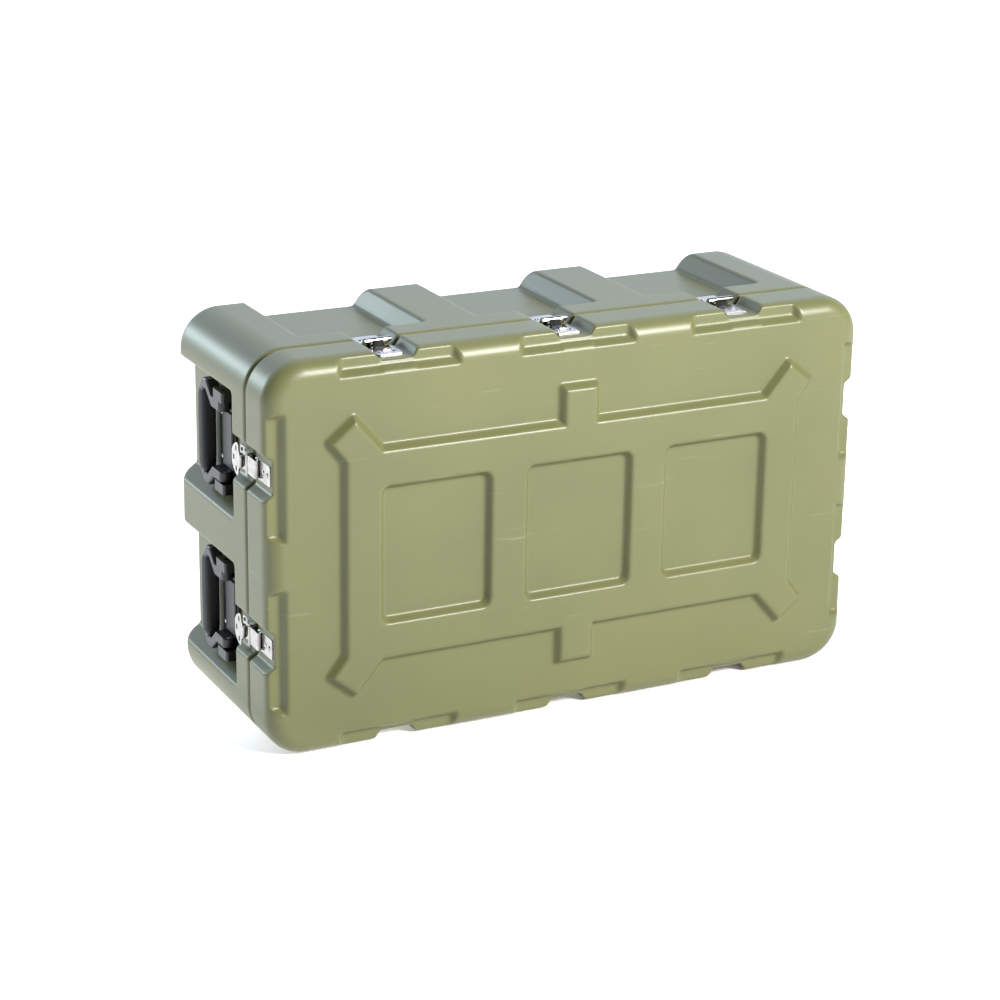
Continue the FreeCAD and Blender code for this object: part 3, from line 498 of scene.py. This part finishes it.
def moulded_shell(name, form, low, high, rim, way):
    """way is 1 where the shell lies behind its rim (the body) and -1 for the lid."""
    step = MESH_STEP
    half = [np.arange(step / 2, size + 2 * step, step) for size in (HALF_X, HALF_Z)]
    depth = np.arange(low - GRID_SHIFT * step, high + 2 * step, step)
    x, z = half[0][:, None, None], half[1][None, None, :]
    along = depth[None, :, None]
    edge, outside = form(x, z, along, 1.0)
    inside = form(x, z, along, 0.0)[1]
    field = hollowed(edge, outside, inside, way * (along - rim))
    field = np.concatenate((field[::-1], field), 0)
    field = np.concatenate((field[:, :, ::-1], field), 2)
    xs = np.concatenate((-half[0][::-1], half[0]))
    zs = np.concatenate((-half[1][::-1], half[1]))
    verts, quads = net_of(field, xs, depth, zs)
    verts = (verts + (0, face_y, MID_Z)) * MM
    piece = mesh_from_arrays(name, verts, quads)
    thin = piece.modifiers.new("merge_flats", "DECIMATE")
    thin.ratio = min(1.0, MOST_FACES / (2 * len(quads)))
    plain_mesh(piece)
    shade_smooth(piece)
    level = piece.modifiers.new("even_shading", "WEIGHTED_NORMAL")
    level.weight = 100
    level.keep_sharp = False
    return piece


CLOUDS, SWELL = 250.0, 62.5          # mm, drift of the colour and waviness of the skin
SCUFF = (111.1, 111.1, 9.09)         # mm, long thin rubs
SCUFF_TURN = (0.3, 0.5, 0.9)
SCUFF_START, SCUFF_FULL, SCUFF_SHARE = 0.68, 0.8, 0.2
SKIN_GRAIN = 1.43                    # mm; the real grain is finer and would not show


def repeats(size):
    """How many times a pattern of this size in millimetres fits in a metre."""
    return 1 / (size * MM)


def olive_polyethylene():
    """Olive polyethylene, coloured right through, with the mould's fine grain on it.
    The skin is satin: matt face on, with a cool sheen at a low angle, and it scuffs paler."""
    material, tree = new_material("olive_moulded_polyethylene")
    place = add(tree, "ShaderNodeTexCoord").outputs["Object"]
    clouds = add(tree, "ShaderNodeTexNoise", {"Vector": place}, Scale=repeats(CLOUDS),
                 Detail=5.0)
    tone = add(tree, "ShaderNodeValToRGB", {"Fac": clouds.outputs["Fac"]})
    tone.color_ramp.elements[0].position, tone.color_ramp.elements[1].position = 0.3, 0.72
    tone.color_ramp.elements[0].color = linear("626541")
    tone.color_ramp.elements[1].color = linear("6a6c46")
    stretched = add(tree, "ShaderNodeMapping", {"Vector": place}, Rotation=SCUFF_TURN,
                    Scale=[repeats(size) for size in SCUFF])
    streaks = add(tree, "ShaderNodeTexNoise", {"Vector": stretched.outputs["Vector"]},
                  Scale=1.0, Detail=3.0)
    rare = add(tree, "ShaderNodeMapRange", {"Value": streaks.outputs["Fac"]},
               From_Min=SCUFF_START, From_Max=SCUFF_FULL, To_Max=SCUFF_SHARE)
    worn = add(tree, "ShaderNodeMix", {"Factor": rare.outputs["Result"]}, data_type="RGBA")
    tree.links.new(tone.outputs["Color"], worn.inputs["A"])
    worn.inputs["B"].default_value = linear("a3a58c")
    grain = add(tree, "ShaderNodeTexNoise", {"Vector": place}, Scale=repeats(SKIN_GRAIN),
                Detail=2.0)
    swell = add(tree, "ShaderNodeTexNoise", {"Vector": place}, Scale=repeats(SWELL), Detail=2.0)
    soft = add(tree, "ShaderNodeBump", {"Height": swell.outputs["Fac"]}, Strength=0.1,
               Distance=0.002)
    bump = add(tree, "ShaderNodeBump", {"Height": grain.outputs["Fac"],
                                        "Normal": soft.outputs["Normal"]},
               Strength=0.3, Distance=0.0003)
    rough = add(tree, "ShaderNodeMapRange", {"Value": clouds.outputs["Fac"]},
                To_Min=0.33, To_Max=0.43)
    skin = add(tree, "ShaderNodeBsdfPrincipled",
               {"Base Color": worn.outputs["Result"], "Normal": bump.outputs["Normal"],
                "Roughness": rough.outputs["Result"]}, IOR=1.51)
    finish_material(tree, skin)
    return material


CORNER_STEPS, SECTION_STEPS = 12, 3


def rim_path(inset):
    """Points along the case's rounded outline at an inset, with the outward direction at each."""
    radius = CORNER_RADIUS - inset
    path = []
    for quarter in range(4):
        corner_x = (HALF_X - CORNER_RADIUS) * (1, -1, -1, 1)[quarter]
        corner_z = (HALF_Z - CORNER_RADIUS) * (1, 1, -1, -1)[quarter]
        for step in range(CORNER_STEPS + 1):
            angle = math.radians(90 * (quarter + step / CORNER_STEPS))
            way = Vector((math.cos(angle), 0, math.sin(angle)))
            path.append((Vector((corner_x, 0, MID_Z + corner_z)) + way * radius, way))
    return path


def rim_ring(name, inset, section):
    """Closed ring along the rim; section is (distance outwards, y) round its profile."""
    verts, faces = [], []
    path, count = rim_path(inset), len(section)
    for at, way in path:
        verts += [(at + way * out + Vector((0, y, 0))) * MM for out, y in section]
    for index in range(len(path)):
        near, far = index * count, (index + 1) % len(path) * count
        faces += [(near + k, near + (k + 1) % count, far + (k + 1) % count, far + k)
                  for k in range(count)]
    mesh = bpy.data.meshes.new(name)
    mesh.from_pydata(verts, [], faces)
    ring = bpy.data.objects.new(name, mesh)
    bpy.context.scene.collection.objects.link(ring)
    return ring


def rounded_section(half, low, high, radius):
    """Profile with rounded corners, in order round its middle."""
    points = []
    for quarter, (x, y) in enumerate(((1, 1), (-1, 1), (-1, -1), (1, -1))):
        middle_y = high - radius if y > 0 else low + radius
        for step in range(SECTION_STEPS + 1):
            angle = math.radians(90 * (quarter + step / SECTION_STEPS))
            points.append((x * (half - radius) + radius * math.cos(angle),
                           middle_y + radius * math.sin(angle)))
    return points


WELD = 2e-6              # metres within which points are one


def outwards(piece):
    """Welds a mesh and turns its faces outwards."""
    form = bmesh.new()
    form.from_mesh(piece.data)
    bmesh.ops.remove_doubles(form, verts=form.verts, dist=WELD)
    bmesh.ops.recalc_face_normals(form, faces=form.faces)
    form.to_mesh(piece.data)
    form.free()


shell_plastic = olive_polyethylene()
lid = moulded_shell("lid", lid_form, -FRAME_RISE, LID_DEPTH, LID_DEPTH - PART_GAP / 2, -1)
body = moulded_shell("body", body_form, LID_DEPTH, FULL_DEPTH, LID_DEPTH + PART_GAP / 2, 1)
TONGUE_GAP, TONGUE_THICKNESS, TONGUE_HEIGHT, TONGUE_EDGE = 1.5, 3.0, 8.0, 1.0
tongue_inset = RIM_WIDTH + TONGUE_GAP + TONGUE_THICKNESS / 2
tongue = rim_ring("body_tongue", tongue_inset, rounded_section(
    TONGUE_THICKNESS / 2, part_y + PART_GAP / 2 - TONGUE_HEIGHT, part_y + RIM_DEPTH, TONGUE_EDGE))
ledge = rim_ring("body_ledge", RIM_WIDTH + TONGUE_GAP, rounded_section(
    TONGUE_THICKNESS, part_y + PART_ROUND + PART_GAP, part_y + RIM_DEPTH, TONGUE_EDGE))
for piece, node, rides in ((lid, "lid_shell", "lid"), (body, "body_shell", "case"),
                           (tongue, None, "case"), (ledge, None, "case")):
    piece.data.materials.append(shell_plastic)
    if node:
        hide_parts(node)
    else:
        outwards(piece)
        shade_smooth(piece)
    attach(piece, rides)

# ---------------------------------------------------------------------------------------
# Gasket.
# A sponge rubber cord with rounded corners, pressed into a groove in the lid's rim.
# It stands 0.7 mm out of the rim and is closed by the body's rim.
# ---------------------------------------------------------------------------------------
GROOVE_INSET = 16.5
GASKET_WIDTH, GASKET_HEIGHT, GASKET_STAND, GASKET_EDGE = 5.0, 4.2, 0.7, 1.2
PORE = 1.11              # mm


def sponge_rubber():
    """Black EPDM sponge: open-pored, quite matt."""
    material, tree = new_material("black_sponge_rubber")
    place = add(tree, "ShaderNodeTexCoord").outputs["Object"]
    pores = add(tree, "ShaderNodeTexVoronoi", {"Vector": place}, Scale=repeats(PORE))
    bump = add(tree, "ShaderNodeBump", {"Height": pores.outputs["Distance"]}, Strength=0.5,
               Distance=0.0003)
    # Painted shade in the pores: the hollows where the bump sinks are coloured darker.
    tone = add(tree, "ShaderNodeValToRGB", {"Fac": pores.outputs["Distance"]})
    tone.color_ramp.elements[0].color = linear("0e0e0f")
    tone.color_ramp.elements[1].color = linear("232324")
    rubber = add(tree, "ShaderNodeBsdfPrincipled",
                 {"Base Color": tone.outputs["Color"], "Normal": bump.outputs["Normal"]},
                 Roughness=0.85)
    finish_material(tree, rubber)
    return material


lid_rim = part_y - PART_GAP / 2
gasket = rim_ring("gasket", GROOVE_INSET + GASKET_WIDTH / 2, rounded_section(
    GASKET_WIDTH / 2, lid_rim + GASKET_STAND - GASKET_HEIGHT, lid_rim + GASKET_STAND,
    GASKET_EDGE))
outwards(gasket)
shade_smooth(gasket)
gasket.data.materials.append(sponge_rubber())
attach(gasket, "lid")
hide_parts("lid_gasket")

# ---------------------------------------------------------------------------------------
# Hinges and twist latches.
# Leaves, keepers, bases, claws and wings are pressed from stainless steel sheet, deburred
# and tumbled bright, so every edge has a small radius and the flats carry faint rub marks.
# ---------------------------------------------------------------------------------------
SHEET_EDGE = 0.35        # mm, radius that tumbling leaves on an edge
RUB_MARK = (7.14, 7.14, 0.667)       # mm; real ones are finer and would not show
STEEL_CLOUDS = 11.1      # mm, duller patches from the tumbler
FACET_ANGLE, EDGE_ANGLE, CREASE_ANGLE = 1.0, 38.0, 50.0


def tumbled_stainless():
    """Bright 304 stainless: mirror-like with cloudy patches and hairline rub marks."""
    material, tree = new_material("tumbled_stainless_steel")
    place = add(tree, "ShaderNodeTexCoord").outputs["Object"]
    drawn = add(tree, "ShaderNodeMapping", {"Vector": place},
                Scale=[repeats(size) for size in RUB_MARK])
    hairs = add(tree, "ShaderNodeTexNoise", {"Vector": drawn.outputs["Vector"]}, Scale=1.0,
                Detail=2.0)
    clouds = add(tree, "ShaderNodeTexNoise", {"Vector": place}, Scale=repeats(STEEL_CLOUDS),
                 Detail=3.0)
    rough = add(tree, "ShaderNodeMapRange", {"Value": clouds.outputs["Fac"]},
                To_Min=0.1, To_Max=0.26)
    bump = add(tree, "ShaderNodeBump", {"Height": hairs.outputs["Fac"]}, Strength=0.12,
               Distance=0.0001)
    tone = add(tree, "ShaderNodeValToRGB", {"Fac": clouds.outputs["Fac"]})
    tone.color_ramp.elements[0].color = linear("85827e")
    tone.color_ramp.elements[1].color = linear("c8c5c0")
    steel = add(tree, "ShaderNodeBsdfPrincipled",
                {"Base Color": tone.outputs["Color"], "Roughness": rough.outputs["Result"],
                 "Normal": bump.outputs["Normal"]}, Metallic=1.0)
    finish_material(tree, steel)
    return material


def eased(node, edge, material):
    """Copy of a CAD piece with its facets merged and its edges rounded by edge millimetres."""
    mesh = frame["nodes"][node].data.copy()
    piece = bpy.data.objects.new("finished_" + node, mesh)
    bpy.context.scene.collection.objects.link(piece)
    form = bmesh.new()
    form.from_mesh(mesh)
    bmesh.ops.remove_doubles(form, verts=form.verts, dist=WELD)
    bmesh.ops.dissolve_limit(form, angle_limit=math.radians(FACET_ANGLE),
                             verts=form.verts, edges=form.edges)
    form.to_mesh(mesh)
    form.free()
    soften = piece.modifiers.new("edge_radius", "BEVEL")
    soften.width = edge * MM
    soften.segments = 2
    soften.limit_method = "ANGLE"
    soften.angle_limit = math.radians(EDGE_ANGLE)
    plain_mesh(piece)
    shade_smooth(piece)
    piece.data.set_sharp_from_angle(angle=math.radians(CREASE_ANGLE))
    level = piece.modifiers.new("even_shading", "WEIGHTED_NORMAL")
    level.keep_sharp = True
    piece.data.materials.clear()
    piece.data.materials.append(material)
    body_name = next(name for name, nodes in bodies.items() if node in nodes)
    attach(piece, body_name)
    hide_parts(node)


bodies = frame["record"]["behaviour"]["bodies"]
steel = tumbled_stainless()
for node in frame["nodes"]:
    if node.startswith(("hinge_", "latch_", "handle_pins")):
        eased(node, SHEET_EDGE, steel)

# ---------------------------------------------------------------------------------------
# Rivets.
# Domed stainless rivets hold every leaf, plate and bracket, with a flat tail inside the
# wall. One tree sets a head and a stem on each point, turned to the side that it faces.
# ---------------------------------------------------------------------------------------
RIVET_HEAD, RIVET_RISE, RIVET_RADIUS, RIVET_TAIL = 3.4, 1.3, 1.9, 1.2
LEAF, PLATE, BRACKET_PLATE = 2.0, 1.6, 4.0   # thicknesses under the heads
RIVET_CREASE = 40.0
HANDLE_AT = 108.0                    # a handle's middle, from the parting plane
HINGE_RIVETS = (10, 30)              # along the edge and from the parting plane
KEEPER_RIVETS = (33, 45)             # both on the latch's middle line
BASE_RIVETS = (10, 39)
HANDLE_RIVETS = (30, HANDLE_AT + 31)
TOP = (Vector((1, 0, 0)), Vector((0, 0, 1)))
BOTTOM = (Vector((-1, 0, 0)), Vector((0, 0, -1)))
LEFT = (Vector((0, 0, 1)), Vector((-1, 0, 0)))
RIGHT = (Vector((0, 0, -1)), Vector((1, 0, 0)))


def on_side(side, place, x, y, out):
    """Point at x along the edge, y behind the parting plane and out from the surface."""
    along, away = side
    middle = Vector((0, part_y, MID_Z))
    reach = HALF_Z if abs(away.z) else HALF_X
    start = middle + away * reach + Vector((abs(along.x), 0, abs(along.z))) * place
    return start + along * x + Vector((0, y, 0)) + away * out


hinge_places = [(TOP, place) for place in (-LONG_PITCH, 0, LONG_PITCH)]
latch_places = [(BOTTOM, place) for place in (-LONG_PITCH, 0, LONG_PITCH)]
handle_places = [(side, place) for side in (LEFT, RIGHT) for place in (-END_PITCH, END_PITCH)]
latch_places += handle_places


def pair(spot, way):
    """Two rivets, one on each side of a middle line, in front of (-1) or behind (1) the rims."""
    along, from_part = spot
    return [(-along, way * from_part), (along, way * from_part)]


def rivet_seats(groups):
    """Points on top of the riveted plates: (point, outward direction, thickness gripped)."""
    seats = []
    for places, spots, plate, floor in groups:
        for side, place in places:
            for x, y in spots:
                point = on_side(side, place, x, y, plate - floor)
                seats.append((point * MM, side[1], (plate + WALL + RIVET_TAIL) * MM))
    return seats


def rivet_tree(material):
    tree = bpy.data.node_groups.new("set_rivets", "GeometryNodeTree")
    face = tree.interface
    face.new_socket("Geometry", in_out="INPUT", socket_type="NodeSocketGeometry")
    for name in ("Head Radius", "Head Rise", "Stem Radius", "Tail Thickness"):
        face.new_socket(name, in_out="INPUT", socket_type="NodeSocketFloat")
    face.new_socket("Geometry", in_out="OUTPUT", socket_type="NodeSocketGeometry")
    given = add(tree, "NodeGroupInput").outputs
    away = add(tree, "GeometryNodeInputNamedAttribute", data_type="FLOAT_VECTOR",
               Name="outward").outputs["Attribute"]
    grip = add(tree, "GeometryNodeInputNamedAttribute", data_type="FLOAT",
               Name="grip").outputs["Attribute"]
    turn = add(tree, "FunctionNodeAlignRotationToVector", {"Vector": away}, axis="Z")
    ball = add(tree, "GeometryNodeMeshUVSphere", Segments=24, Rings=12, Radius=1.0)
    shape = add(tree, "ShaderNodeCombineXYZ", {"X": given["Head Radius"],
                                               "Y": given["Head Radius"],
                                               "Z": given["Head Rise"]})
    dome = add(tree, "GeometryNodeTransform", {"Geometry": ball.outputs["Mesh"],
                                               "Scale": shape.outputs["Vector"]})
    heads = add(tree, "GeometryNodeInstanceOnPoints", {
        "Points": given["Geometry"], "Instance": dome.outputs["Geometry"],
        "Rotation": turn.outputs["Rotation"]})
    stem = add(tree, "GeometryNodeMeshCylinder", {"Radius": given["Stem Radius"]},
               Vertices=20, Depth=1.0)
    hung = add(tree, "GeometryNodeTransform", {"Geometry": stem.outputs["Mesh"]},
               Translation=(0.0, 0.0, -0.5))
    length = add(tree, "ShaderNodeCombineXYZ", {"Z": grip}, X=1.0, Y=1.0)
    stems = add(tree, "GeometryNodeInstanceOnPoints", {
        "Points": given["Geometry"], "Instance": hung.outputs["Geometry"],
        "Rotation": turn.outputs["Rotation"], "Scale": length.outputs["Vector"]})
    tail = add(tree, "GeometryNodeMeshCylinder", {"Radius": given["Head Radius"],
                                                  "Depth": given["Tail Thickness"]}, Vertices=24)
    half = add(tree, "ShaderNodeMath", {"Value": given["Tail Thickness"]}, operation="MULTIPLY")
    half.inputs[1].default_value = 0.5
    drop = add(tree, "ShaderNodeMath", {"Value": grip}, operation="SUBTRACT")
    tree.links.new(half.outputs["Value"], drop.inputs[1])
    inward = add(tree, "ShaderNodeVectorMath", {"Vector": away}, operation="SCALE")
    back = add(tree, "ShaderNodeMath", {"Value": drop.outputs["Value"]}, operation="MULTIPLY")
    back.inputs[1].default_value = -1.0
    tree.links.new(back.outputs["Value"], inward.inputs["Scale"])
    inside = add(tree, "GeometryNodeSetPosition", {"Geometry": given["Geometry"],
                                                   "Offset": inward.outputs["Vector"]})
    tails = add(tree, "GeometryNodeInstanceOnPoints", {
        "Points": inside.outputs["Geometry"], "Instance": tail.outputs["Mesh"],
        "Rotation": turn.outputs["Rotation"]})
    together = add(tree, "GeometryNodeJoinGeometry")
    for part in (heads, stems, tails):
        tree.links.new(part.outputs["Instances"], together.inputs["Geometry"])
    real = add(tree, "GeometryNodeRealizeInstances", {"Geometry": together.outputs["Geometry"]})
    finish = add(tree, "GeometryNodeSetMaterial", {"Geometry": real.outputs["Geometry"]})
    finish.inputs["Material"].default_value = material
    result = add(tree, "NodeGroupOutput")
    tree.links.new(finish.outputs["Geometry"], result.inputs["Geometry"])
    return tree


def set_rivets(name, seats, tree, node, rides):
    mesh = bpy.data.meshes.new(name)
    mesh.from_pydata([tuple(point) for point, _, _ in seats], [], [])
    outward = mesh.attributes.new("outward", "FLOAT_VECTOR", "POINT")
    outward.data.foreach_set("vector", [v for _, away, _ in seats for v in away])
    grip = mesh.attributes.new("grip", "FLOAT", "POINT")
    grip.data.foreach_set("value", [length for _, _, length in seats])
    piece = bpy.data.objects.new(name, mesh)
    bpy.context.scene.collection.objects.link(piece)
    rule = piece.modifiers.new("rivets", "NODES")
    rule.node_group = tree
    sizes = {"Head Radius": RIVET_HEAD, "Head Rise": RIVET_RISE, "Stem Radius": RIVET_RADIUS,
             "Tail Thickness": RIVET_TAIL}
    for item in tree.interface.items_tree:
        if item.in_out == "INPUT" and item.name in sizes:
            rule[item.identifier] = sizes[item.name] * MM
    plain_mesh(piece)
    shade_smooth(piece)
    piece.data.set_sharp_from_angle(angle=math.radians(RIVET_CREASE))
    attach(piece, rides)
    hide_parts(node)


rivets = rivet_tree(steel)
set_rivets("rivets_of_lid", rivet_seats([
    (hinge_places, pair(HINGE_RIVETS, -1), LEAF, NOTCH_DEPTH),
    (latch_places, [(0, -y) for y in KEEPER_RIVETS], PLATE, NOTCH_DEPTH)]),
    rivets, "lid_rivets", "lid")
set_rivets("rivets_of_body", rivet_seats([
    (hinge_places, pair(HINGE_RIVETS, 1), LEAF, NOTCH_DEPTH),
    (latch_places, pair(BASE_RIVETS, 1), PLATE, NOTCH_DEPTH),
    (handle_places, pair(HANDLE_RIVETS, 1), BRACKET_PLATE, CELL_DEPTH)]),
    rivets, "body_rivets", "case")

# ---------------------------------------------------------------------------------------
# Handles.
# Bracket and bail are moulded in black glass-filled nylon with large edge radii; the
# sleeve round the bail's bar is soft stippled rubber.
# ---------------------------------------------------------------------------------------
NYLON_EDGE = 1.3         # mm
FIBRE_SWIRL, NYLON_GRAIN = 16.7, 1.11  # mm; the real grain is finer and would not show
STIPPLE = 1.61           # mm
SLEEVE_RINGS, SLEEVE_POINTS, SLEEVE_CREASE = 29, 24, 60.0
SLEEVE_SQUARE = 0.62     # 1 is an oval section, less is squarer
SLEEVE_CROWN = 0.045     # how much thinner the ends are than the middle, as a share
END_THICKNESS, END_SHARPNESS = 0.65, 14


def black_nylon():
    """Black nylon 6 with glass: semi-matt skin that shows swirls of fibre at the surface."""
    material, tree = new_material("black_glass_filled_nylon")
    place = add(tree, "ShaderNodeTexCoord").outputs["Object"]
    swirl = add(tree, "ShaderNodeTexNoise", {"Vector": place}, Scale=repeats(FIBRE_SWIRL),
                Detail=4.0, Distortion=1.5)
    tone = add(tree, "ShaderNodeValToRGB", {"Fac": swirl.outputs["Fac"]})
    tone.color_ramp.elements[0].color = linear("0b0c0d")
    tone.color_ramp.elements[1].color = linear("17181a")
    grain = add(tree, "ShaderNodeTexNoise", {"Vector": place}, Scale=repeats(NYLON_GRAIN),
                Detail=2.0)
    bump = add(tree, "ShaderNodeBump", {"Height": grain.outputs["Fac"]}, Strength=0.3,
               Distance=0.0002)
    rough = add(tree, "ShaderNodeMapRange", {"Value": swirl.outputs["Fac"]},
                To_Min=0.28, To_Max=0.4)
    nylon = add(tree, "ShaderNodeBsdfPrincipled",
                {"Base Color": tone.outputs["Color"], "Normal": bump.outputs["Normal"],
                 "Roughness": rough.outputs["Result"]}, IOR=1.53)
    finish_material(tree, nylon)
    return material


def stippled_rubber():
    """Soft black rubber; its mould is spark-eroded, which leaves a coarse stipple."""
    material, tree = new_material("black_stippled_rubber")
    place = add(tree, "ShaderNodeTexCoord").outputs["Object"]
    stipple = add(tree, "ShaderNodeTexVoronoi", {"Vector": place}, Scale=repeats(STIPPLE))
    bump = add(tree, "ShaderNodeBump", {"Height": stipple.outputs["Distance"]}, Strength=0.8,
               Distance=0.0006)
    tone = add(tree, "ShaderNodeValToRGB", {"Fac": stipple.outputs["Distance"]})
    tone.color_ramp.elements[0].color = linear("1e1f20")
    tone.color_ramp.elements[1].color = linear("0a0a0b")
    tone.color_ramp.elements[1].position = 0.7
    rubber = add(tree, "ShaderNodeBsdfPrincipled",
                 {"Base Color": tone.outputs["Color"], "Normal": bump.outputs["Normal"]},
                 Roughness=0.62)
    finish_material(tree, rubber)
    return material


def rubber_sleeve(node):
    """Crowned sleeve along the bail's bar, a little thinner at its ends, with round ends."""
    low, high = (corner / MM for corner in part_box(node))
    half = (high - low) / 2
    middle = (low + high) / 2
    verts, faces, count = [], [], SLEEVE_POINTS
    for index in range(SLEEVE_RINGS):
        share = -math.cos(math.pi * index / (SLEEVE_RINGS - 1))
        blunt = math.sqrt(max(0.0, 1 - abs(share) ** END_SHARPNESS))
        ease = min(1.0, blunt * (1 - END_THICKNESS) + END_THICKNESS)
        girth = (1 - SLEEVE_CROWN * share ** 2) * ease
        for step in range(count):
            angle = 2 * math.pi * step / count
            y, x = (math.copysign(abs(turn) ** SLEEVE_SQUARE, turn) * girth
                    for turn in (math.cos(angle), math.sin(angle)))
            spot = Vector((x * half.x, y * half.y, share * half.z))
            verts.append((middle + spot) * MM)
    for index in range(SLEEVE_RINGS - 1):
        near, far = index * count, (index + 1) * count
        faces += [(near + k, near + (k + 1) % count, far + (k + 1) % count, far + k)
                  for k in range(count)]
    last = (SLEEVE_RINGS - 1) * count
    faces += [tuple(range(count)), tuple(last + k for k in range(count))]
    mesh = bpy.data.meshes.new("sleeve_" + node)
    mesh.from_pydata(verts, [], faces)
    piece = bpy.data.objects.new("sleeve_" + node, mesh)
    bpy.context.scene.collection.objects.link(piece)
    outwards(piece)
    smooth = piece.modifiers.new("rounding", "SUBSURF")
    smooth.levels = smooth.render_levels = 1
    plain_mesh(piece)
    shade_smooth(piece)
    piece.data.set_sharp_from_angle(angle=math.radians(SLEEVE_CREASE))
    return piece


nylon = black_nylon()
stipple = stippled_rubber()
for name in ("left_upper", "left_lower", "right_upper", "right_lower"):
    eased("handle_bracket_" + name, NYLON_EDGE, nylon)
    eased("handle_bail_" + name, NYLON_EDGE, nylon)
    sleeve = rubber_sleeve("handle_grip_" + name)
    sleeve.data.materials.append(stipple)
    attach(sleeve, "handle_" + name)
    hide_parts("handle_grip_" + name)
